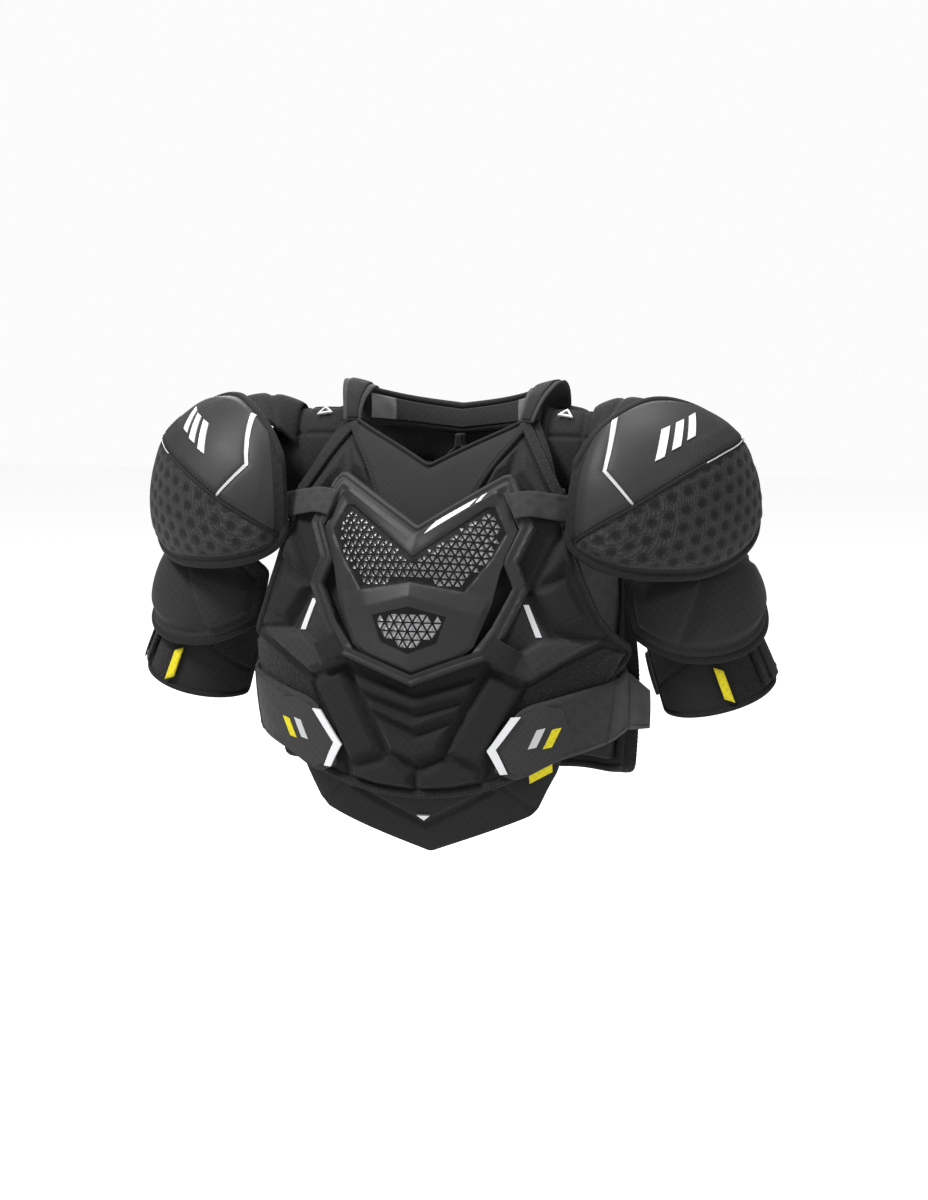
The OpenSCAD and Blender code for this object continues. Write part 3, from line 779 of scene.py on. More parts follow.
def rim_relief(x, z):
    """Two soft ribs with a channel between them, following the rim."""
    t = depth_in(x, z, whole(RIM_OUT))
    ribs = 2.2 * np.exp(-((t - 3.0) / 1.9) ** 2) + 2.4 * np.exp(-((t - 9.0) / 2.2) ** 2)
    return PLATE_D + 2.0 + plate_crown(x) + 2.4 * smooth(t / 2.2) + ribs


def faceted(z, levels):
    """Straight-sided profile down through (height, depth) levels."""
    h = levels[0][1] + 0 * z
    for (z0, h0), (z1, h1) in zip(levels, levels[1:]):
        h = h + (h1 - h0) * np.clip((z0 - z) / (z0 - z1), 0, 1)
    return h


def cover_relief(x, z):
    """The hard cover's facets: a keel down the middle, a brow across it, sunk windows and a folded chin."""
    ax = np.abs(x)
    t = depth_in(x, z, whole(COVER))
    levels = [(297 + 0.6 * ax, 1.0), (280.5 + 0.66 * ax, 5.2), (271 + 0.7 * ax, 1.2), (250 - 0.1 * ax, 1.2),
              (241 - 0.26 * ax, 5.0), (184 + 0.33 * ax, 2.2), (171 + 0.33 * ax, -4.5)]
    keel = 13 * (1 - ax / 82) * smooth(t / 26)
    sunk = 1.8 * smooth(depth_in(x, z, whole(UPPER_WINDOW)) / 1.6 + 0.5)
    sunk += 1.0 * smooth(depth_in(x, z, whole(LOWER_WINDOW)) / 1.6 + 0.5)
    return PLATE_D + plate_crown(x) + 3.6 + faceted(z, levels) * smooth(t / 5) + keel - sunk


def cover_back(x, z, d):
    """The cover is thinner behind its windows."""
    window = np.maximum(depth_in(x, z, whole(UPPER_WINDOW)), depth_in(x, z, whole(LOWER_WINDOW)))
    return d - 2.6 + 1.3 * smooth(window / 2 + 1)


def triangle_holes(window, pitch, share):
    """Triangular holes in a lattice, kept where they are inside a window. share is how open it is."""
    low, high = np.min(window, 0), np.max(window, 0)
    tall = pitch * math.sqrt(3) / 2
    reach = int(high[0] / pitch) * 2 + 4
    holes = []
    for row in range(int((high[1] - low[1]) / tall) + 2):
        for k in range(-reach, reach + 1):
            up = 1 if k % 2 == 0 else -1
            x = (k + row % 2) * pitch / 2
            z = low[1] + row * tall + (tall / 3 if up < 0 else 0)
            foot = z - up * tall / 3 * share
            corners = [(x, z + up * tall * 2 / 3 * share), (x - up * pitch / 2 * share, foot),
                       (x + up * pitch / 2 * share, foot)]
            if (depth_in(*np.array(corners).T, window) > 1.0).all():
                holes.append(corners)
    return holes


def chest_plate():
    rim = cut_sheet("plate_rim_gasket", front, whole(RIM_OUT), rim_relief, lambda x, z, d: PLATE_D, [RIM],
                    holes=[whole(RIM_IN)], step=1.6, sharp=60)
    place(rim, "plate", "moulded_plastic", "plate_rim")
    holes = triangle_holes(whole(UPPER_WINDOW), 6.6, 0.66) + triangle_holes(whole(LOWER_WINDOW), 7.8, 0.74)
    creases = [[(0, 289), (0, 272)], [(0, 249), (0, 235)], [(0, 194), (0, 176)]]
    for x, z, middle in ((38, 196.5, 184), (50, 228, 241), (57, 318.1, 280.5)):
        creases.append([(-x, z), (0, middle), (x, z)])
    windows = [whole(UPPER_WINDOW), whole(LOWER_WINDOW)]
    creases += [window + window[:1] for window in windows]
    in_window = lambda x, z: np.any([depth_in(x, z, window) > 0 for window in windows], axis=0).astype(int)
    cover = cut_sheet("plate_cover", front, whole(COVER), cover_relief, cover_back, [PLATE, LATTICE], holes,
                      creases, 1.7, in_window, 30)
    place(cover, "plate", "moulded_plastic", "chest_plate")
    behind = lambda x, z: cover_relief(x, z) - 2.2
    for name, window, nodes in (("upper", windows[0], []), ("lower", windows[1], ["plate_mesh"])):
        backing = cut_sheet(f"plate_screen_{name}", front, window, behind, 0.8, [SCREEN], step=5, sharp=40)
        place(backing, "plate", "screen", *nodes)
    bars = {"a": [(15, 299), (46, 317.5), (41, 309), (7.5, 287.5)],
            "b": [(49, 319.3), (53, 321), (49, 313.5), (45, 311.3)]}
    for word, loop in bars.items():
        badge = cut_sheet(f"plate_badge_{word}", front, loop[::-1] if word == "a" else loop,
                          lambda x, z: cover_relief(x, z) + 0.9, 1.0, [WHITE], step=2.5)
        place(badge, "plate", "white_print", *(["plate_badge"] if word == "a" else []))


def keepers(side, word):
    """Elastic ribbons: the upper one runs from the rim under the cap, the lower one is a short loop."""
    top = [(72, 311), (80, 313), (88, 314), (96, 314), (104, 314), (112, 313.5), (121, 313), (127, 312.5)]
    rise = np.array([9.5, 10.5, 9, 4.5, 1.5, -1.5, -5, -13]) + PLATE_D
    x, z = np.array(top).T
    path = soften(resample(on_trunk(side * x, z, rise, -1)[0], 2.0), 6)
    normal = on_trunk(path[:, 0] * 0.93, path[:, 2], 0, -1)[1]
    ribbon = sweep(f"keeper_upper_{word}", path, normal, oval(24, 2.2, 16, 0.45), [WEBBING])
    if side > 0:
        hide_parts("plate_retainers")
    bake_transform(ribbon)
    k = np.array([-0.1, 0.12, 0.5, 0.88, 1.1])
    rise = np.array([1, 8.2, 9.2, 8.2, 1]) + PLATE_D
    path = soften(resample(on_trunk(side * (81 - 22 * k), 190 + 14 * k, rise, -1)[0], 1.6), 3)
    normal = on_trunk(path[:, 0], path[:, 2], 0, -1)[1]
    cord(f"keeper_lower_{word}", path, normal, oval(21, 2.6, 16, 0.5), BINDING, "plate", "webbing")


# ---------------------------------------------------------------- simulated padding


def swell(obj, held, reach):
    """Inflates a pad as cloth. held(points in mm) is 1 where a seam holds it and 0 where it is free."""
    scene = bpy.context.scene
    rest = read_points(obj)
    group = obj.vertex_groups.new(name="held")
    weights = np.clip(held(rest / MM), 0, 1)
    for index in np.nonzero(weights > 0.02)[0]:
        group.add([int(index)], float(weights[index]), "REPLACE")
    cloth = obj.modifiers.new("Cloth", "CLOTH")
    cloth.point_cache.frame_start = 1
    cloth.point_cache.frame_end = 20
    rules = cloth.settings
    rules.use_pressure = True
    rules.uniform_pressure_force = 4.0
    rules.effector_weights.gravity = 0
    rules.vertex_group_mass = "held"
    rules.tension_stiffness = 12
    rules.compression_stiffness = 12
    scene.frame_start = 1
    scene.frame_end = 20
    for frame_number in range(1, 21):
        scene.frame_set(frame_number)
    bake(obj)
    scene.frame_set(1)
    moved = read_points(obj) - rest
    far = np.linalg.norm(moved, axis=1, keepdims=True)
    limit = reach * MM
    moved *= np.tanh(far / limit) * limit / np.maximum(far, 1e-9)
    obj.data.vertices.foreach_set("co", (rest + moved).reshape(-1))
    finer = obj.modifiers.new("Finer", "SUBSURF")
    finer.levels = 1
    bake(obj)
    obj.vertex_groups.clear()
    obj.data.polygons.foreach_set("use_smooth", np.ones(len(obj.data.polygons), bool))
    return obj


def bake(obj):
    """Applies the modifiers to the mesh."""
    graph = bpy.context.evaluated_depsgraph_get()
    graph.update()
    mesh = bpy.data.meshes.new_from_object(obj.evaluated_get(graph))
    old = obj.data
    mesh.name = old.name
    obj.modifiers.clear()
    obj.data = mesh
    bpy.data.meshes.remove(old)


def read_points(obj):
    points = np.zeros(len(obj.data.vertices) * 3)
    obj.data.vertices.foreach_get("co", points)
    return points.reshape(-1, 3)


def near_paths(u, v, paths, width):
    """1 on the paths, 0 beyond width from them."""
    far = np.full(np.shape(u), 1e9)
    for path in paths:
        far = np.minimum(far, edge_distance(u, v, path, False)[0])
    return 1 - smooth(far / width)


def sunk_at_seams(obj, at, paths, depth, width):
    """Pulls a finished pad in along its seams. at(points) gives (u, v, inward) in mm."""
    points = read_points(obj) / MM
    u, v, inward = at(points)
    pull = near_paths(u, v, paths, width) * depth
    obj.data.vertices.foreach_set("co", ((points + inward * pull[:, None]) * MM).reshape(-1))
    obj.data.update()


# ---------------------------------------------------------------- shoulder caps

CAP_CENTRE = np.array([182, -6, 312.0])
CAP_DEPTH, CAP_HALF_W, CAP_HALF_H = 90, 105, 104
CAP_SWEEP, CAP_LOW, CAP_HIGH = 68, 29, 76
CAP_FACING = math.radians(38)
CAP_AXES = np.array([[math.sin(CAP_FACING), -math.cos(CAP_FACING), 0],
                     [math.cos(CAP_FACING), math.sin(CAP_FACING), 0], [0, 0, 1]])


def cap_point(sweep_at, rise, d):
    """Point of the left cap's dome, d inside it, from its sweep round the arm and its height in degrees."""
    l, f, d = np.broadcast_arrays(np.radians(sweep_at), np.radians(rise), np.asarray(d, float))
    return (CAP_CENTRE + CAP_AXES[0] * ((CAP_DEPTH - d) * np.cos(f) * np.cos(l))[..., None]
            + CAP_AXES[1] * ((CAP_HALF_W - d) * np.cos(f) * np.sin(l))[..., None]
            + CAP_AXES[2] * ((CAP_HALF_H - d) * np.sin(f))[..., None])


def cap_round(l):
    return (1 - np.minimum(np.abs(l) / (CAP_SWEEP + 2), 1) ** 2.6) ** (1 / 2.6)


def cap_top(l, inset=0.0):
    return (CAP_HIGH - inset) * cap_round(l)


def cap_bottom(l, inset=0.0):
    return (inset - CAP_LOW + 20 * (np.maximum(l, 0) / CAP_SWEEP) ** 1.6) * cap_round(l)


CAP_U, CAP_V = 1.72, 1.8  # millimetres of dome per degree of sweep and of height


def cap_flat(l, f):
    """The dome rolled out to millimetres, near enough to measure distances on it."""
    return CAP_U * l * np.cos(np.radians(f)), CAP_V * f


def from_flat(u, v):
    f = v / CAP_V
    return u / (CAP_U * np.cos(np.radians(f))), f


def cap_grid(inset, columns_count, rows_count):
    l = np.linspace(-CAP_SWEEP + inset, CAP_SWEEP - inset, columns_count)
    s = np.linspace(0, 1, rows_count)
    f = cap_bottom(l, inset)[:, None] + (cap_top(l, inset) - cap_bottom(l, inset))[:, None] * s[None]
    return np.repeat(l[:, None], rows_count, 1), f


CAP_SEAM = [(-66, -12), (-50, -3), (-35, 5), (-19, 14.5), (-7.5, 20.5), (5.5, 26), (20, 30.5), (45, 35.5),
            (69, 37)]
CAP_STRIPE = [(-52.2, 54), (-47.5, 23), (-32, 8)]
COMB = 15.0


def cell_field(u, v, pitch):
    """1 in the middle of each cell of an offset lattice, falling to 0 between cells."""
    tall = pitch * math.sqrt(3) / 2
    best = np.full(np.shape(u), 1e9)
    for row_shift in (0, 1):
        row = np.round((v / tall - row_shift) / 2) * 2 + row_shift
        cu = (np.round(u / pitch - 0.5 * (row_shift % 2)) + 0.5 * (row_shift % 2)) * pitch
        best = np.minimum(best, np.hypot(u - cu, v - row * tall))
    return 1 - smooth((best / pitch - 0.16) / 0.26)


def cap_relief(l, f):
    """Height of the cover over the dome, the honeycomb cells' strength and which zone each point is in."""
    u, v = cap_flat(l, f)
    seam = np.array([cap_flat(a, b) for a, b in CAP_SEAM])
    above = v - np.interp(u, seam[:, 0], seam[:, 1])
    to_seam = edge_distance(u, v, seam, False)[0]
    low_gap = CAP_V * (f - cap_bottom(l))
    high_gap = CAP_V * (cap_top(l) - f)
    side_gap = CAP_U * (CAP_SWEEP - np.abs(l)) * 0.8
    to_edge = np.minimum(np.minimum(low_gap, high_gap), side_gap)
    comb = (above < 0) & (to_edge > 0)
    cells = cell_field(u * 0.94 + v * 0.34, v * 0.94 - u * 0.34, COMB)
    cells = np.where(comb, cells * smooth(to_seam / 6) * smooth((to_edge - 9) / 6), 0)
    h = 3.4 * smooth((to_edge - 3) / 16)
    h += np.where(comb, 0.8 * smooth(to_seam / 10) - 1.3 * cells, 1.2 * smooth(to_seam / 7))
    h += 4.2 * np.exp(-to_seam / 21) * smooth((to_edge - 2) / 22) - 1.6 * np.exp(-(to_seam / 2.2) ** 2)
    stripe = np.array([cap_flat(a, b) for a, b in CAP_STRIPE])
    inward = edge_distance(u, v, stripe, False)[0]
    h += np.where(~comb, -0.9 * np.exp(-(inward / 3.2) ** 2), 0)
    hatch = (above > 3) & (above < 26) & (l > -2) & (l < 52)
    ridges = np.maximum(np.sin((u - 0.28 * v) * 2.0), 0) * smooth((above - 3) / 3) * smooth((26 - above) / 6)
    h += np.where(hatch, 0.9 * ridges * smooth((l + 2) / 5) * smooth((52 - l) / 5), 0)
    zone = np.where(to_edge < 8.5, 2, np.where(comb, 1, 0))
    return h, cells, zone


def cap_border(inset=0.0):
    """The cap's edge as a closed run of (sweep, rise) angles."""
    ls = -CAP_SWEEP * np.cos(np.linspace(0, math.pi, 90))
    ls = np.clip(ls, -CAP_SWEEP + inset, CAP_SWEEP - inset)
    low = np.stack([ls, cap_bottom(ls, inset)], -1)
    high = np.stack([ls[::-1], cap_top(ls[::-1], inset)], -1)
    return np.concatenate([low, high[1:-1]])


def cap_path(angles, d, side, step=2.6, rounds=2, closed=False):
    """A path on the cap with outward directions, on the wearer's left (side 1) or right."""
    angles = np.asarray(angles, float)
    points = cap_point(angles[:, 0], angles[:, 1], d)
    points = soften(resample(points, step, closed), rounds, closed)
    return sided(points, side), sided(cap_out(points), side)


def cap_out(points):
    """Outward direction of the left cap's dome near some points."""
    local = (points - CAP_CENTRE) @ CAP_AXES.T
    return unit((local / np.array([CAP_DEPTH, CAP_HALF_W, CAP_HALF_H]) ** 2) @ CAP_AXES)


def cap_form(side):
    """Lays flat (u, v) millimetres on the dome for cut_sheet."""
    def form(u, v, d):
        l, f = from_flat(u * side, v)
        return sided(cap_point(l, f, -np.asarray(d, float)), side)
    return form


def cover_path(shift, lift, side):
    """The cover's diagonal seam moved up by shift mm, lift mm above the cover's face."""
    l = np.linspace(CAP_SEAM[0][0], CAP_SEAM[-1][0], 70)
    f = line(l, CAP_SEAM) + shift / CAP_V
    return cap_path(np.stack([l, f], -1), 1.2 - cap_relief(l, f)[0] - lift, side, rounds=4)


def cap_cover(side, word):
    l, f = cap_grid(0.0, 150, 120)
    h, cells, zone = cap_relief(l, f)
    outer, inner = cap_point(l, f, 1.2 - h), cap_point(l, f, 7.0)
    cover = slab(f"cap_cover_{word}_pad", outer, inner, [SKIN, HONEYCOMB, BINDING], zone, side, side < 0)
    strength = cover.data.attributes.new("cell", "FLOAT", "POINT")
    cells = np.concatenate([cells.reshape(-1), np.zeros(cells.size)])
    strength.data.foreach_set("value", cells.astype(np.float32))
    skin = (f"cap_{word}", "cap_skin")
    place(cover, *skin, f"cap_cover_{word}")
    path, out = cap_path(cap_border(), 3.0, side, closed=True)
    cord(f"cap_binding_{word}", path, out, oval(8.5, 9.8, 14, 0.75), BINDING, *skin, closed=True)
    stitches(f"cap_binding_sew_{word}", *cap_path(cap_border(4.6), 0.2, side, closed=True), *skin)
    seam, out = cover_path(0, 1.3, side)
    cord(f"cap_piping_{word}", seam[2:-2], out[2:-2], oval(2.6, 2.6, 8), BINDING, *skin)
    # Thin silver strip over the outer part of the piping: a painted highlight, standing in for the glint
    # where the piping catches the light.
    painted_glint = slice(len(seam) * 3 // 5, -4)
    cord(f"cap_piping_painted_glint_{word}", seam[painted_glint], out[painted_glint], oval(1.3, 3.3, 8), SILVER, *skin)
    for number, shift in enumerate((3.4, -3.4)):
        along, out = cover_path(shift, 0.15, side)
        stitches(f"cap_seam_sew_{word}_{number}", along[3:-3], out[3:-3], *skin, 0.4)


def cap_marks(side, word):
    """Raised silver chevron and three plain slanted bars on the leather."""
    form = cap_form(side)
    rise = lambda u, v: cap_relief(*from_flat(u * side, v))[0] - 0.25
    top, bend, foot = [np.array(cap_flat(a, b)) for a, b in CAP_STRIPE]
    shapes = {"chevron": [top + (-2.6, 0), bend + (-1.5, 0), foot + (-0.8, -0.6), foot + (0.8, 0.6),
                          bend + (1.9, 0.8), top + (2.6, 0)]}
    for k in range(3):
        u, v, tall = -33 + 15.5 * k, 50 + 9.5 * k, 31 - 2 * k
        shapes[f"bar_{k}"] = [(u, v), (u + 8.5, v + 4.2), (u + 8.5 + tall * 0.42, v + 4.2 + tall),
                              (u + tall * 0.42, v + tall)]
    for name, loop in shapes.items():
        points = [(side * p[0], p[1]) for p in loop]
        area = sum(a[0] * b[1] - b[0] * a[1] for a, b in zip(points, points[1:] + points[:1]))
        mark = cut_sheet(f"cap_{name}_{word}", form, points[::1 if area > 0 else -1], rise, 1.1,
                         [SILVER if name == "chevron" else WHITE], step=2.5)
        place(mark, f"cap_{word}", "white_print")


def cap_layers(side, word):
    """The hard cup inside the cover and the brushed lining under it."""
    for node, d0, d1, inset, material, slot in (("cap_shell", 9.9, 12.4, 6.0, INSERT, "insert_plastic"),
                                                ("cap_liner", 13.4, 17.0, 3.0, LINING, "lining")):
        l, f = cap_grid(inset, 70, 50)
        quilt = 0.7 * np.cos(l * 0.35) * np.cos(f * 0.35) if node == "cap_liner" else 0
        outer, inner = cap_point(l, f, d0), cap_point(l, f, d1 - quilt)
        layer = slab(f"{node}_{word}_form", outer, inner, [material], None, side, side < 0)
        place(layer, f"cap_{word}", slot, f"{node}_{word}")
    path, out = cap_path(cap_border(3.4), 15.0, side, closed=True)
    cord(f"cap_liner_edge_{word}", path, out, oval(4.0, 4.6, 10, 0.8), BINDING, f"cap_{word}", "lining",
         closed=True)


def cap_wing(side, word):
    """Padded cloth bridge from the shoulder arch to the cap's top edge."""
    s = np.linspace(0, 1, 50)
    r = np.linspace(0, 1, 22)[None]
    seat = arch_point(134 + 4 * s, 36 + 104 * s, FOAM_T + 2.5)
    l = -54 + 106 * s
    edge = cap_point(l, cap_top(l) - 1.5, 7.5)
    blend = r[..., None]
    mid = edge[:, None] * (1 - blend) + seat[:, None] * blend
    out = unit(np.stack([0 * s, seat[:, 1] * 0.8, seat[:, 2] - 330], -1))[:, None]
    belly = np.sin(math.pi * r) * (6 - 2.4 * np.exp(-((r - 0.55) / 0.06) ** 2))
    cloth = 1.2 + 2.6 * np.sin(math.pi * r) ** 0.5
    top = mid + out * (belly + cloth)[..., None]
    under = mid + out * (belly * 0.8)[..., None]
    wing = slab(f"cap_wing_{word}_cloth", top[:, ::-1], under[:, ::-1], [FABRIC], side=side)
    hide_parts(f"cap_wing_{word}")
    start, end = sided(seat[25], side) * MM, sided(edge[25], side) * MM
    tuple(start)
    tuple(end)
    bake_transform(wing)


# ---------------------------------------------------------------- arms

ARM_TOP = np.array([186, 12, 314.0])
ARM_LOW = np.array([240, 24, 165.0])
ARM_FACING = math.radians(42)
ARM_AXIS = unit(ARM_LOW - ARM_TOP)
ARM_FRONT = unit(np.cross(np.cross(ARM_AXIS, [math.sin(ARM_FACING), -math.cos(ARM_FACING), 0]), ARM_AXIS))
ARM_SIDE = np.cross(ARM_AXIS, ARM_FRONT)
BICEP = [(14, 40), (40, 52), (62, 62), (84, 68), (106, 69), (126, 66), (142, 63)]
GUARD_SPAN = (-80, 86)
GUARD_SCALE, CUFF_SCALE = 1.12, 0.9  # millimetres per degree round the guard and the cuff
GUARD_TOP = [(-80, 52), (0, 18), (86, 52)]
GUARD_END = [(-80, 96), (-50, 128), (0, 142), (50, 128), (86, 96)]
CUFF = [(80, 44), (140, 50), (200, 54)]
CUFF_END = [(-104, 176), (0, 188), (118, 178)]
STRAP_TOP = [(-240, 124), (-76, 132), (0, 144)]
STRAP_END = [(-240, 164), (-76, 174), (0, 182)]
STRAP_HINGE = -76


def round_arm(a, s, r):
    """Point round the left arm: a degrees towards the trunk, s down the arm, r from its axis."""
    a, s, r = np.broadcast_arrays(np.radians(a), np.asarray(s, float), np.asarray(r, float))
    return (ARM_TOP + ARM_AXIS * s[..., None]
            + (ARM_FRONT * np.cos(a)[..., None] + ARM_SIDE * np.sin(a)[..., None]) * r[..., None])


def on_arm(points, side):
    """Angle, distance down the arm and inward direction of points near an arm."""
    near = sided(np.asarray(points, float), side) - ARM_TOP
    s = near @ ARM_AXIS
    x, y = near @ ARM_FRONT, near @ ARM_SIDE
    a = np.arctan2(y, x)
    inward = -(ARM_FRONT * np.cos(a)[:, None] + ARM_SIDE * np.sin(a)[:, None])
    return np.degrees(a), s, sided(inward, side)


def arm_grid(a0, a1, top, end, columns_count, rows_count):
    a = np.linspace(a0, a1, columns_count)
    t = np.linspace(0, 1, rows_count)
    s = curve(a, end)[:, None] * (1 - t) + curve(a, top)[:, None] * t
    return np.repeat(a[:, None], rows_count, 1), s


def arm_path(points, radii, lift, side, step=2.6, rounds=2, closed=False):
    """A path round the arm through (a, s) points, with outward directions."""
    p = np.array(points, float)
    xyz = round_arm(p[:, 0], p[:, 1], curve(p[:, 1], radii) + lift)
    xyz = soften(resample(xyz, step, closed), rounds, closed)
    return sided(xyz, side), sided(-on_arm(xyz, 1)[2], side)


def arm_edge(a0, a1, top, end, inset=0.0):
    """Closed run of (a, s) points along an arm piece's edge, inset in mm."""
    a = np.linspace(a0 + inset * 0.95, a1 - inset * 0.95, 60)
    low = np.stack([a, curve(a, end) - inset], -1)
    high = np.stack([a[::-1], curve(a[::-1], top) + inset], -1)
    return np.concatenate([low, high])


def guard_relief(a, s):
    """A low piped border, then a crowned pad split by a slanting keel, with a fold across the outer side."""
    edge = arm_edge(*GUARD_SPAN, GUARD_TOP, GUARD_END) * (GUARD_SCALE, 1)
    t, inside = edge_distance(a * GUARD_SCALE, s, edge)
    t = np.where(inside, t, 0)
    away = (a - line(s, [(50, 4), (64, 11), (112, 46), (140, 60)])) * GUARD_SCALE
    under_cap = 1 - smooth((s - 56) / 16)
    crown = 3.8 * smooth((t - 11) / 8) * (1 - under_cap) - 1.8 * under_cap * smooth(t / 6)
    valley = -4.4 * np.exp(-(np.minimum(away, 0) / 13) ** 2) * smooth(1 - away / 3) * smooth((t - 10) / 10)
    fold = -2.4 * np.exp(-((s - line(a, [(-80, 78), (8, 66)])) / 3.4) ** 2) * (a < 4) * smooth((t - 8) / 8)
    channel = -1.4 * np.exp(-((t - 10.5) / 2.4) ** 2)
    return 1.0 + 2.2 * smooth(t / 4) + crown + valley + fold + channel


def bicep(side, word):
    body = f"arm_{word}"
    a, s = arm_grid(*GUARD_SPAN, GUARD_TOP, GUARD_END, 130, 90)
    r = curve(s, BICEP)
    outer, inner = round_arm(a, s, r - 5.4 + guard_relief(a, s)), round_arm(a, s, r - 9.4)
    pad = slab(f"bicep_guard_{word}_pad", outer, inner, [GUARD], None, side, side > 0)
    place(pad, body, "foam_fabric", f"bicep_guard_{word}")
    path, out = arm_path(arm_edge(*GUARD_SPAN, GUARD_TOP, GUARD_END), BICEP, -5.2, side, closed=True)
    cord(f"bicep_binding_{word}", path, out, oval(8, 9, 14, 0.75), BINDING, body, "foam_fabric", closed=True)
    path, out = arm_path(arm_edge(*GUARD_SPAN, GUARD_TOP, GUARD_END, 6.4), BICEP, -2.1, side, closed=True)
    stitches(f"bicep_sew_{word}", path, out, body, "foam_fabric")
    a, s = arm_grid(-60, 60, [(-60, 66), (0, 48), (60, 66)], [(-60, 104), (0, 122), (60, 104)], 50, 30)
    r = curve(s, BICEP)
    outer, inner = round_arm(a, s, r - 10.2), round_arm(a, s, r - 12.2)
    shell = slab(f"bicep_shell_{word}_insert", outer, inner, [INSERT], side=side)
    place(shell, body, "insert_plastic", f"bicep_shell_{word}")


CUFF_SEAM = [(-104, 122), (-30, 136), (30, 134), (52, 136), (118, 156)]


def cuff(side, word):
    body = f"arm_{word}"
    a, s = arm_grid(-102, 116, [(-104, 110), (118, 110)], [(k, v - 1) for k, v in CUFF_END], 58, 20)
    r = curve(s, CUFF)
    outer, inner = round_arm(a, s, r - 1.4), round_arm(a, s, r - 7.0)
    pad = slab(f"cuff_{word}_pad", outer, inner, [LOOP, FABRIC, LINING], None, side, side > 0)
    flat = lambda angles: [(p * CUFF_SCALE, q) for p, q in angles]
    rim = arm_edge(-104, 118, [(-104, 108), (118, 108)], CUFF_END)

    def at_cuff(points):
        at, down, inward = on_arm(points, side)
        return at * CUFF_SCALE, down, inward

    def held(points):
        at, down, _ = at_cuff(points)
        return np.maximum(near_paths(at, down, [flat(CUFF_SEAM)], 5), near_paths(at, down, [flat(rim)], 4))

    swell(pad, held, reach=3.2)
    sunk_at_seams(pad, at_cuff, [flat(CUFF_SEAM)], 1.2, 3.0)
    middles = np.array([f.center for f in pad.data.polygons]) / MM
    at, down, inward = on_arm(middles, side)
    facing = np.array([f.normal for f in pad.data.polygons])
    inside = np.sum(facing * inward, axis=1) > 0.35
    pick = np.where(inside, 2, np.where((at > 24) & (down > line(at, CUFF_SEAM)), 1, 0))
    pad.data.materials.clear()
    for material in (LOOP, FABRIC, LINING):
        pad.data.materials.append(material)
    pad.data.polygons.foreach_set("material_index", pick.astype(np.int32))
    place(pad, body, "loop_fabric", f"cuff_{word}")
    edge = arm_edge(-103, 117, [(-104, 109), (118, 109)], [(k, v - 1) for k, v in CUFF_END])
    path, out = arm_path(edge, CUFF, -4.2, side, closed=True)
    cord(f"cuff_binding_{word}", path, out, oval(6, 9.5, 12, 0.8), BINDING, body, "loop_fabric", closed=True)
    path, out = arm_path(CUFF_SEAM[2:], CUFF, 0.2, side, rounds=5)
    stitches(f"cuff_sew_{word}", path, out, body, "loop_fabric", 0.5)


def strap_band(name, a0, a1, side, material, lift=1.0, thick=3.0, wave=0.0):
    """A strap round the cuff between two angles, its outer face crowned and waved."""
    a, s = arm_grid(a0, a1, STRAP_TOP, STRAP_END, max(int(abs(a1 - a0) / 2.5), 8), 12)
    bow = np.sin(np.linspace(0, math.pi, 12))
    r = curve(s, CUFF) + lift + wave * np.sin(np.radians(a * 9)) * bow
    outer = round_arm(a, s, r + thick + 0.5 * bow ** 0.5 - 0.5)
    return slab(name, outer, round_arm(a, s, r), [material], side=side)


def arm_straps(side, word):
    body, free = f"arm_{word}", f"strap_{word}"
    strap = strap_band(f"arm_strap_{word}_elastic", -234, STRAP_HINGE - 3, side, WEBBING, wave=0.5)
    place(strap, body, "webbing", f"arm_strap_{word}")
    tail = strap_band(f"strap_tail_{word}_tab", STRAP_HINGE + 1.5, -16, side, LOOP)
    place(tail, free, "webbing", f"strap_tail_{word}")
    for part, owner, a0, a1 in (("strap", body, -232, STRAP_HINGE - 5), ("tail", free, STRAP_HINGE + 4, -20)):
        for edge, table, shift in (("upper", STRAP_TOP, 3.0), ("lower", STRAP_END, -3.0)):
            a = np.linspace(a0, a1, 24)
            path, out = arm_path(np.stack([a, curve(a, table) + shift], -1), CUFF, 4.3, side)
            stitches(f"arm_{part}_sew_{edge}_{word}", path, out, owner, "webbing")
    loop = strap_band(f"cuff_keeper_{word}", -44, -26, side, BINDING, lift=4.4, thick=1.6)
    place(loop, free, "webbing")
    a, s = arm_grid(20, 28, [(20, 152), (28, 146)], [(20, 182), (28, 176)], 5, 8)
    r = curve(s, CUFF)
    outer, inner = round_arm(a, s, r + 3.4), round_arm(a, s, r + 1.2)
    tag = slab(f"strap_tag_{word}_label", outer, inner, [YELLOW], side=side)
    place(tag, body, "yellow_label", f"strap_tag_{word}")
    t = np.linspace(-1, 1, 15)
    centre = np.mean(node_box(f"arm_link_{word}"), 0)
    path = centre + np.stack([t * 13.5, 0 * t, 1.4 * np.cos(t * math.pi) - 0.4], -1)
    up = np.tile([0.0, 0.0, 1.0], (15, 1))
    cord(f"arm_link_{word}_elastic", path, up, oval(19.5, 2.6, 14, 0.5), WEBBING, body, "webbing",
         f"arm_link_{word}")


# ---------------------------------------------------------------- belts

BELT_D = FOAM_OUT + 3.4
BELT_LOW = [(72, 96), (92, 90), (120, 104), (149, 114)]
BELT_HIGH = [(72, 122), (88, 148), (112, 158), (149, 169)]
BELT_FOLD = np.array([168, -24.0])
BELT_END = np.array([175, 70.0])


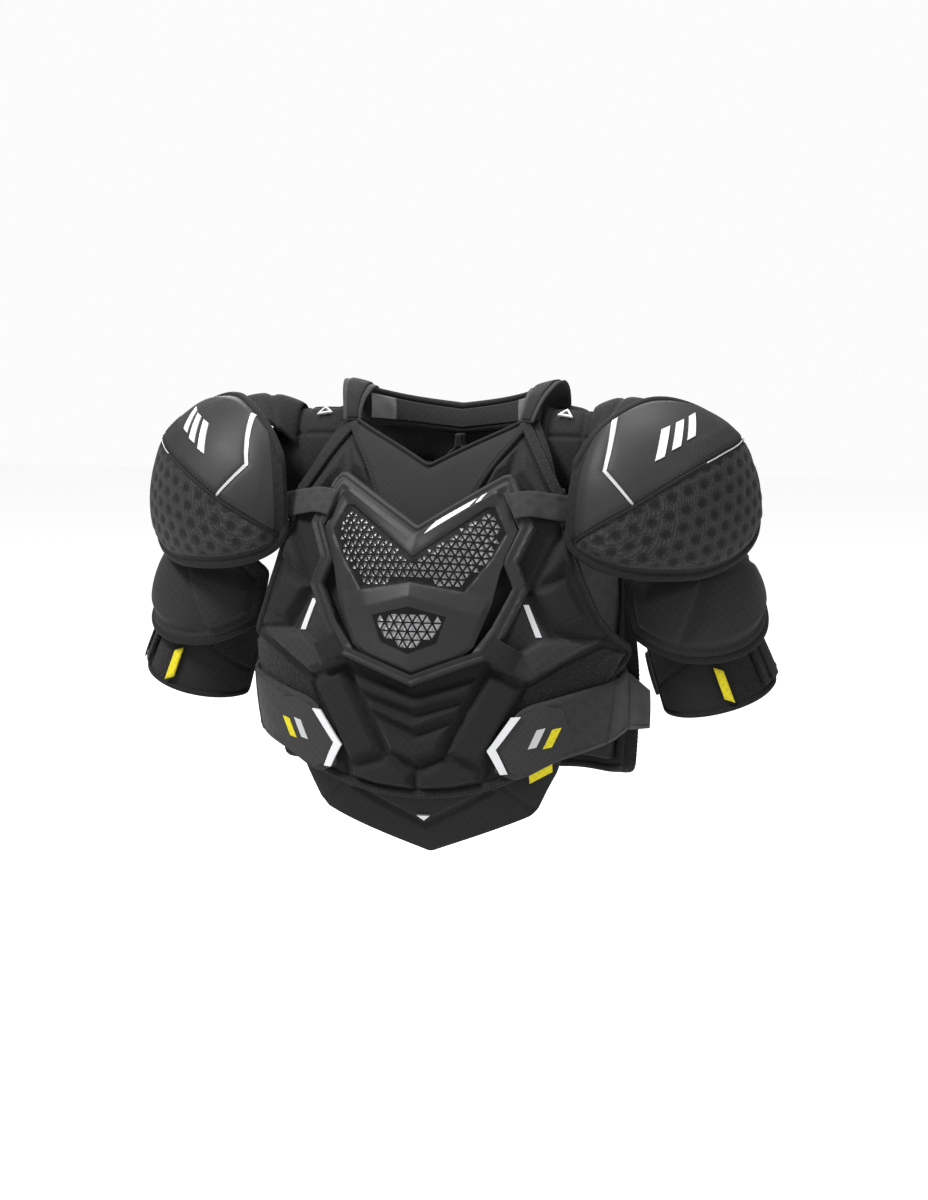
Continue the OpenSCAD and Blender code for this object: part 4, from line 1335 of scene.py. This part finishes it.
def belt_section(k, lift):
    """Column k of the left belt's flap: 0 to 1 runs over the front panel, 1 to 2 round the fold."""
    t = np.linspace(0, 1, 15)
    x = 73 + (149 - 73) * min(k, 1)
    z = curve(x, BELT_LOW) * (1 - t) + curve(x, BELT_HIGH) * t
    if k <= 1:
        return on_trunk(x, z, BELT_D + lift, -1)[0]
    edge = on_trunk(x, z, BELT_D, -1)[0]
    fold = np.stack([0 * t + BELT_FOLD[0], 0 * t + BELT_FOLD[1] - 1, 116 + (171 - 116) * t], -1)
    w = k - 1
    bow = np.array([1, -1, 0]) * (2.5 * math.sin(w * math.pi) + lift) * (1 - w)
    return edge * (1 - w) + fold * w + bow + np.array([lift, 0, 0]) * w


def belt_sheet(name, side, word, loop, d, thickness, material, slot, *nodes):
    """A film or knit field on the belt's flap."""
    form = lambda x, z, d: sided(on_trunk(np.abs(x), z, d, -1)[0], side)
    sheet = cut_sheet(f"belt_{name}", form, loop[::side], BELT_D + d, thickness, [material], step=4)
    place(sheet, f"belt_{word}", slot, *nodes)


def belt_flap(side, word):
    ks = np.concatenate([np.linspace(0, 1, 60), np.linspace(1, 2, 22)[1:]])
    crown = 0.7 * np.sin(np.linspace(0, 1, 15) * math.pi) ** 0.6
    inner, outer, crest = [np.stack([belt_section(k, lift) for k in ks]) for lift in (0.0, 2.4, 3.2)]
    outer = outer + (crest - outer) * crown[None, :, None]
    flap = slab(f"belt_flap_{word}_elastic", outer, inner, [WEBBING], side=side)
    place(flap, f"belt_{word}", "webbing", f"belt_flap_{word}")
    for row, name in ((1, "lower"), (13, "upper")):
        normal = sided(unit(outer[2:, row] - inner[2:, row]), side)
        path = sided(outer[2:, row], side) + normal * 0.1
        stitches(f"belt_sew_{name}_{word}", path, normal, f"belt_{word}", "webbing", 0.5)
    badge = [(64.5, 114), (77, 94.5), (83, 95), (71.5, 115.5), (88.5, 144), (81.5, 143.5)]
    field = [(72.5, 115.5), (84, 96), (93.5, 93.5), (118, 105), (127, 118), (118, 150), (104, 153), (90, 145)]
    belt_sheet(f"chevron_{word}", side, word, badge, 5.4, 2.2, WHITE, "white_print", f"belt_badge_{word}")
    belt_sheet(f"field_{word}", side, word, field, 3.9, 2.2, KNIT, "webbing")
    for k, material, slot in ((0, SILVER, "white_print"), (1, YELLOW, "yellow_label")):
        x = 96 + 11 * k
        bar = [(x, 116), (x + 6, 117.5), (x + 11, 134), (x + 5, 132.5)]
        belt_sheet(f"bar_{word}_{k}", side, word, bar, 4.5, 1.2, material, slot)


def belt_base(side, word):
    """The belt's rear part, from the fold to its end on the back panel."""
    s = np.linspace(0, 1, 34)[:, None]
    t = np.linspace(0, 1, 13)[None]
    edge = (BELT_FOLD - (0, 3)) * (1 - s) + BELT_END * s
    x = edge[:, :1] - 3.4 * smooth(1 - s * 7)
    z = (117 - 17 * s) * (1 - t) + (171 - 35 * s) * t
    ripple = 0.35 * np.sin(s * 60) * np.sin(t * math.pi)
    outer = np.stack([x + 2.6 + 0.6 * np.sin(t * math.pi) + ripple, edge[:, 1:] + 0 * t, z], -1)
    inner = np.stack([x + 0 * t, edge[:, 1:] + 0 * t, z], -1)
    base = slab(f"belt_base_{word}_elastic", outer, inner, [WEBBING], side=side)
    place(base, "back", "webbing", f"belt_base_{word}")
    for row, name in ((1, "lower"), (11, "upper")):
        path = sided(outer[1:-1, row], side)
        normal = np.tile([1.0 * side, 0, 0], (len(path), 1))
        stitches(f"belt_base_sew_{name}_{word}", path, normal, "back", "webbing", 0.5)


# ---------------------------------------------------------------- belly pad

EXTENSION_LOW = [(0, 1), (114, 41), (121, 47), (136, 88)]
EXTENSION_CHANNEL = [(-62, 72), (0, 36), (62, 72)]
EXTENSION_FOLDS = [[(72, 76), (102, 44)], [(-72, 76), (-102, 44)]]


def extension_pad():
    """Belly pad that hangs inside the hem: swollen round a chevron channel and two folds."""
    xs = np.linspace(-135.5, 135.5, 78)
    low = lambda x: line(np.abs(x), EXTENSION_LOW) + 2
    pad = panel("extension_pad_foam", -1, low, lambda x: 131 - 0.1 * np.abs(x), xs, 36,
                -3.6, -9.5, [FABRIC])

    def held(points):
        x, z = points[:, 0], points[:, 2]
        seams = near_paths(x, z, [EXTENSION_CHANNEL] + EXTENSION_FOLDS, 6)
        hidden = smooth((z - chest_low(x) + 2) / 6)
        return np.maximum(seams, hidden)

    swell(pad, held, reach=3.4)

    def at(points):
        middle, outward = on_trunk(points[:, 0] * 0.98, points[:, 2], -6.5, -1)
        face = np.sum((points - middle) * outward, axis=1)
        return points[:, 0], points[:, 2], -outward * (face > 0)[:, None]

    sunk_at_seams(pad, at, [EXTENSION_CHANNEL], 3.0, 5.0)
    sunk_at_seams(pad, at, EXTENSION_FOLDS, 2.0, 3.5)
    place(pad, "extension", "foam_fabric", "extension_pad")
    path, normal = edge_path(-1, [(x * 0.98, z) for x, z in EXTENSION_CHANNEL], -4.4, 2.5, 1, False)
    stitches("extension_sew", path, normal, "extension", "foam_fabric", radius=0.6)
    mark = cut_sheet("extension_mark", front, [(-7, 45), (0, 40), (7, 45)], -1.6, 2.6, [WHITE], step=3)
    place(mark, "extension", "foam_fabric")
    xs = np.linspace(-68, 68, 90)
    rough = np.random.default_rng(3)
    strip = panel("extension_hooks", -1, lambda x: 104 + 0 * x, lambda x: 122 + 0 * x, xs, 14,
                  lambda x, z: -1.0 + rough.uniform(-0.2, 0.2, np.shape(x)), -2.6, [LOOP])
    place(strip, "extension", "loop_fabric", "extension_hook_strip")


# ---------------------------------------------------------------- shoulders and neck

RIDGE_Z, ARCH_RISE = 403, 83
ARCH_DEEP = (36, 42)  # from the ridge to the middle of the arch's foam, in front and behind
ARCH_TALL = ARCH_RISE - FOAM_T / 2
ARCH_DROP = [(93, 0), (134, 2), (160, 14)]


def arch_point(x, a, d):
    """Point of the left shoulder arch, a degrees from the chest over the top to the back."""
    x, a, d = np.broadcast_arrays(np.asarray(x, float), np.radians(a), np.asarray(d, float))
    deep = np.where(a < math.pi / 2, 40, 46) - FOAM_T + d
    z = RIDGE_Z - curve(x, ARCH_DROP) - ARCH_RISE + (ARCH_RISE - FOAM_T + d) * np.sin(a)
    return np.stack([x, -deep * np.cos(a), z], -1)


def shoulder_arch(side, word):
    """Quilted bridge over the shoulder, swollen between its sewn lines."""
    lines = [[(90, a), (163, a)] for a in (46, 84, 122)] + [[(128, 10), (128, 160)]]
    x, a = np.meshgrid(np.linspace(94, 159, 20), np.linspace(6, 151, 46), indexing="ij")
    outer, inner = arch_point(x, a, FOAM_T - 1.5), arch_point(x, a, 1.0)
    pad = slab(f"shoulder_arch_{word}_pad", outer, inner, [FABRIC], side=side)

    def at(points):
        p = sided(points, side)
        drop = RIDGE_Z - curve(p[:, 0], ARCH_DROP) - ARCH_RISE
        deep = np.where(p[:, 1] < 0, *ARCH_DEEP)
        angle = np.degrees(np.arctan2((p[:, 2] - drop) / ARCH_TALL, -p[:, 1] / deep))
        radial = np.stack([0 * drop, p[:, 1], p[:, 2] - drop], -1)
        radii = np.stack([deep, deep, ARCH_TALL + 0 * deep], -1)
        outer = np.linalg.norm(radial / radii, axis=1) > 1.0
        return p[:, 0], angle, sided(-unit(radial / radii ** 2) * outer[:, None], side)

    def held(points):
        u, angle, _ = at(points)
        edges = near_paths(u, angle, [[(93, 5), (160, 5), (160, 152), (93, 152), (93, 5)]], 4)
        return np.maximum(edges, near_paths(u, angle, lines, 4))

    swell(pad, held, reach=3.2)
    sunk_at_seams(pad, at, lines, 1.6, 3.2)
    place(pad, "front", "foam_fabric", f"shoulder_arch_{word}")
    round_edge = np.linspace(6, 151, 40)
    x, a = np.repeat([94, 159], 40), np.concatenate([round_edge, round_edge[::-1]])
    points = soften(resample(arch_point(x, a, FOAM_T / 2), 3, True), 3, True)
    out = unit(np.stack([0 * points[:, 0], points[:, 1], (points[:, 2] - 318) * 0.25], -1))
    cord(f"arch_binding_{word}", sided(points, side), sided(out, side), oval(6.5, 10.5, 12, 0.8), BINDING,
         "front", "foam_fabric", closed=True)
    form = lambda u, v, d: sided(arch_point(np.abs(u), v, FOAM_T + np.asarray(d)), side)
    outline, hole = [(104, 66), (118, 63), (112, 76)], [(107.5, 67.5), (115, 65.8), (111.7, 72.6)]
    outline, hole = [[(side * u, v) for u, v in loop][::-side] for loop in (outline, hole)]
    mark = cut_sheet(f"arch_mark_{word}", form, outline, 2.2, 1.4, [SILVER], holes=[hole], step=4)
    place(mark, "front", "foam_fabric")


def ribbon(name, path, across, half, thick, material):
    """A flat band with a rounded face, from its centre line, cross direction and half widths."""
    t = np.linspace(-1, 1, 9)
    tangent = unit(np.gradient(path, axis=0))
    up = unit(np.cross(tangent, across))
    up = up * np.sign(up[:, 2:3] + 1e-6)
    centre = path[:, None] + across[:, None] * (t[None, :, None] * np.asarray(half)[:, None, None])
    face = up[:, None] * (thick * (0.7 + 0.3 * np.sqrt(1 - t ** 2)))[None, :, None]
    return slab(name, centre + face, centre, [material])


def collar_loop(side, word):
    """Folded cloth loop that ties the front's neck point over the shoulder to the collar."""
    points = [(80, -36, 391), (81, -33, 397), (84, -14, 412), (87, 10, 421), (89, 32, 422), (90, 47, 415),
              (90, 57, 403), (89, 60, 391)]
    path = soften(resample(points, 2.0), 12)
    s = np.linspace(0, 1, len(path))
    across = unit(np.stack([1 + 0 * s, -0.5 * (1 - s) ** 2, 0.25 * np.sin(s * 3)], -1))
    half = 8 + 6.5 * smooth(s * 1.8) - 1.5 * smooth((s - 0.7) / 0.3)
    for name, width, lift, material in (("cloth", 1.0, 0.0, KNIT), ("fold", 0.62, 1.9, FABRIC)):
        band = ribbon(f"collar_loop_{word}_{name}", sided(path + (0, 0, lift), side), sided(across, side),
                      half * width, 2.0, material)
        if name == "cloth":
            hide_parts(f"collar_loop_{word}")
        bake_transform(band)


def collar():
    """Low padded stand round the back of the neck with a rolled edge and a pale spacer knit inside."""
    a = np.radians(np.linspace(76, -76, 110))[:, None]
    t = np.linspace(0, 1, 16)
    sink = 0.6 * np.sin(t * math.pi)[None]

    def rim(r, t):
        z = 378 + 10 * np.abs(np.sin(a)) + (22 + 8 * np.abs(np.sin(a)) ** 3) * t
        bulge = r + 0 * z
        return np.stack([(80 + bulge) * np.sin(a), (52 + bulge) * np.cos(a) + 4, z], -1)

    puff = 1.8 * np.sin(t * math.pi)[None] * (0.8 + 0.2 * np.cos(a * 14))
    stand = slab("collar_stand", rim(8.6 + puff, t), rim(0.8 - sink, t), [FABRIC])
    place(stand, "back", "foam_fabric", "collar")
    corner = np.where(np.abs(np.degrees(a)) > 47, 1, 0) + 0 * t.astype(int)
    low = 0.1 + 0.78 * t
    knit = slab("collar_facing", rim(-1.2 - sink, low), rim(0.2 - sink, low), [KNIT, GREY_KNIT], corner)
    place(knit, "back", "foam_fabric")
    rolls = (("top", 4.8, 1.0, 10.5, FABRIC), ("foot", 4.2, 0.0, 9.0, BINDING))
    for name, r, height, size, material in rolls:
        path = rim(r, np.array([height]))[:, 0]
        out = np.tile([0.0, 0.0, 1.0], (len(path), 1))
        cord(f"collar_roll_{name}", path, out, oval(size, 6.5, 14, 0.85), material, "back", "foam_fabric")


def hang_loop():
    """Webbing bent round an open eye, with its tab sewn to the back's lining."""
    y = np.mean(node_box("hang_loop"), 0)[1]
    turn = np.radians(np.linspace(-252, 72, 60))
    ring = np.stack([11.6 * np.cos(turn), y + 0 * turn, 350 + 11.6 * np.sin(turn)], -1)
    tab = np.stack([np.linspace(2.4, 1.6, 8), np.full(8, y), np.linspace(363, 375, 8)], -1)
    path = soften(np.concatenate([sided(tab[::-1], -1), ring, tab]), 4)
    out = unit(np.cross(unit(np.gradient(path, axis=0)), np.array([0.0, 1.0, 0.0])))
    cord("hang_loop_webbing", path, out, oval(19.0, 2.2, 14, 0.5), WEBBING, "back", "webbing", "hang_loop")
    cord("hang_loop_tab", tab * (0, 1, 1), np.tile([1.0, 0, 0], (8, 1)), oval(19.5, 7.5, 14, 0.5), BINDING,
         "back", "webbing")


# ---------------------------------------------------------------- back panel

BACK_LOW = [(0, 52), (60, 58), (110, 62), (140, 62), (157, 68)]
BACK_HIGH = [(0, 372), (60, 382), (90, 396), (110, 392), (126, 366), (142, 290), (150, 210), (157, 160)]
BACK_BLOCKS = [
    ([(34, 86), (92, 94), (86, 128), (40, 138)], 3.4, 7),
    ([(42, 146), (92, 136), (120, 150), (112, 184), (46, 192)], 3.4, 7),
    ([(102, 84), (144, 92), (140, 128), (98, 126)], 3.0, 7),
    ([(128, 138), (149, 142), (146, 196), (122, 190)], 2.8, 6),
    ([(124, 206), (143, 208), (134, 300), (124, 330)], 2.6, 6),
    ([(60, 352), (104, 346), (108, 378), (88, 384)], 3.0, 6),
]


def back_relief(x, z):
    ax = np.abs(x)
    h = raised(ax, z, BACK_BLOCKS)
    h += groove(ax, z, [(32, 60), (36, 200)], 1.6, 2.4)
    border = np.minimum(z - line(ax, BACK_LOW), line(ax, BACK_HIGH) - z)
    border = np.minimum(border, 159 - ax)
    under = smooth((ax - 24) / 4)
    return FOAM_OUT - 2.8 + (h * under + 2.0) * smooth(border / 9) - 0.4


def back_panel():
    xs = np.linspace(-157, 157, 230)
    low, high = lambda x: line(np.abs(x), BACK_LOW), lambda x: line(np.abs(x), BACK_HIGH)
    foam = panel("back_panel_foam", 1, low, high, xs, 200, back_relief, FOAM_IN, [FABRIC])
    place(foam, "back", "foam_fabric", "back_panel")
    outline = BACK_HIGH + [(157, 110)] + BACK_LOW[::-1]
    binding("back_binding", 1, whole(outline), FOAM_IN + 5, "back", rounds=4)
    lining = panel("back_lining", 1, lambda x: low(x) + 9, lambda x: high(x) - 31,
                   np.linspace(-146, 146, 110),
                   100, LINER_T, 0.0, [LINING])
    place(lining, "back", "lining", "back_liner")


SPINE_D = FOAM_OUT + 1.2


def spine_guard():
    """Segmented guard over the spine."""
    low, high = lambda x: 96 + 0.5 * np.abs(x), lambda x: 352 - 0.6 * np.abs(x)

    def relief(x, z):
        ax = np.abs(x)
        wave = np.abs(((z + 0.7 * ax - 96) / 32) % 1 - 0.5) * 2
        segment = smooth((1 - wave) / 0.22)
        edge = np.minimum(26.0 - ax, np.minimum(z - low(x), high(x) - z))
        return SPINE_D + 2.0 + (2.6 * segment + 1.4 * (1 - ax / 26)) * smooth(edge / 5)

    spine = panel("spine_guard", 1, low, high, np.linspace(-26, 26, 60), 260, relief, SPINE_D - 1.0, [RIM])
    place(spine, "back", "foam_fabric", "spine_plate")


def scapula_pad(side, word):
    """Swollen shoulder-blade pad."""
    low = lambda x: 208 + 0.4 * np.abs(np.abs(x) - 78)
    high = lambda x: 340 - 0.5 * np.abs(np.abs(x) - 66)
    xs = np.linspace(40, 116, 24) if side > 0 else np.linspace(-116, -40, 24)
    pad = panel(f"scapula_pad_{word}_foam", 1, low, high, xs, 34, SPINE_D + 4.2, SPINE_D, [FABRIC_SIDE])
    outline = [(40, 222), (78, 208), (116, 222), (116, 316), (66, 340), (40, 328)]
    lines = [[(40, 262), (78, 250), (116, 262)], [(40, 296), (78, 284), (116, 296)]]

    def held(points):
        u, z = side * points[:, 0], points[:, 2]
        return np.maximum(near_paths(u, z, [outline + outline[:1]], 4), near_paths(u, z, lines, 4))

    def at(points):
        return side * points[:, 0], points[:, 2], -on_trunk(points[:, 0] * 0.9, points[:, 2], 0, 1)[1]

    swell(pad, held, reach=3.4)
    sunk_at_seams(pad, at, lines, 1.3, 3.2)
    place(pad, "back", "foam_fabric", f"scapula_pad_{word}")
    loop = [(side * x, z) for x, z in outline]
    binding(f"scapula_binding_{word}", 1, loop, SPINE_D + 2.4, "back", 6, 6.5, rounds=4, sewn=False)


# ---------------------------------------------------------------- studio


CAMERA_AZIMUTH, CAMERA_ELEVATION, CAMERA_DISTANCE = math.radians(13), math.radians(8), 2.0
AIM_RIGHT, AIM_UP, VIEW_SHARE = 0.031, 0.026, 0.912  # in widths of the object
FLOOR_HALF, FLOOR_DROP = 6.0, 0.16
FLOOR_GLOW, WORLD_GLOW = (0.12, 0.72), (0.28, 0.97)  # as light on the object, and as the camera sees it
LIGHTS = (("Key", (-1.1, -1.2, 2.0), 70, 0.6), ("Fill", (1.9, -1.4, 0.9), 15, 1.0),
          ("Top", (0.1, 0.3, 2.0), 34, 1.0), ("Rim", (-0.6, 1.9, 1.1), 18, 1.0))


def looks_at(obj, spot, target):
    """Puts a camera or light at a spot, turned to a target."""
    bpy.context.scene.collection.objects.link(obj)
    obj.location = spot
    obj.rotation_euler = (target - obj.location).to_track_quat("-Z", "Y").to_euler()


def studio_camera(centre, width):
    flat = math.cos(CAMERA_ELEVATION)
    toward = Vector((math.sin(CAMERA_AZIMUTH) * flat, -math.cos(CAMERA_AZIMUTH) * flat,
                     math.sin(CAMERA_ELEVATION)))
    right = Vector((math.cos(CAMERA_AZIMUTH), math.sin(CAMERA_AZIMUTH), 0))
    aim = centre + right * width * AIM_RIGHT + right.cross(-toward) * width * AIM_UP
    camera = bpy.data.objects.new("Camera", bpy.data.cameras.new("Camera"))
    looks_at(camera, aim + toward * CAMERA_DISTANCE, aim)
    camera.data.sensor_fit = "VERTICAL"
    camera.data.angle = 2 * math.atan(width * VIEW_SHARE / CAMERA_DISTANCE)
    bpy.context.scene.camera = camera


def studio_floor(drop):
    n = Nodes("StudioFloor")
    n.shader.inputs["Emission Color"].default_value = (1, 1, 1, 1)
    seen = n.add("ShaderNodeLightPath").outputs["Is Camera Ray"]
    n.link(n.ramp(seen, *FLOOR_GLOW), n.shader.inputs["Emission Strength"])
    corners = [(x * FLOOR_HALF, y * FLOOR_HALF, drop) for x, y in ((-1, -1), (1, -1), (1, 1), (-1, 1))]
    new_mesh("StudioFloor", np.array(corners) / MM, [[0, 1, 2, 3]], [n.finish(rgba(0.7), 0.6)])


def studio_world():
    world = bpy.data.worlds.new("Studio")
    bpy.context.scene.world = world
    world.use_nodes = True
    tree = world.node_tree
    seen = tree.nodes.new("ShaderNodeLightPath")
    brightness = tree.nodes.new("ShaderNodeMapRange")
    brightness.inputs["To Min"].default_value, brightness.inputs["To Max"].default_value = WORLD_GLOW
    tree.links.new(seen.outputs["Is Camera Ray"], brightness.inputs["Value"])
    tree.links.new(brightness.outputs[0], tree.nodes["Background"].inputs["Strength"])
    tree.nodes["Background"].inputs["Color"].default_value = (1, 1, 1, 1)


def studio():
    low, high = Vector(CAD_BOX[0]), Vector(CAD_BOX[1])
    centre = (low + high) / 2
    studio_camera(centre, high.x - low.x)
    studio_floor(low.z - FLOOR_DROP)
    studio_world()
    for name, spot, power, size in LIGHTS:
        light = bpy.data.objects.new(name, bpy.data.lights.new(name, "AREA"))
        light.data.energy = power
        light.data.size = size
        looks_at(light, centre + Vector(spot), centre)
    bpy.context.scene.view_settings.view_transform = "Standard"


def both(*builders):
    """Builds paired pieces, first the wearer's left and then their right."""
    for side, word in ((1, "left"), (-1, "right")):
        for build in builders:
            build(side, word)


chest_panel()
both(chest_marks)
chest_liner()
neck_bib()
both(loop_patch)
size_tag()
chest_plate()
both(keepers)
both(cap_cover, cap_marks, cap_layers, cap_wing)
both(bicep, cuff, arm_straps)
both(belt_flap, belt_base)
extension_pad()
both(shoulder_arch)
both(collar_loop)
collar()
hang_loop()
back_panel()
spine_guard()
both(scapula_pad)
studio()
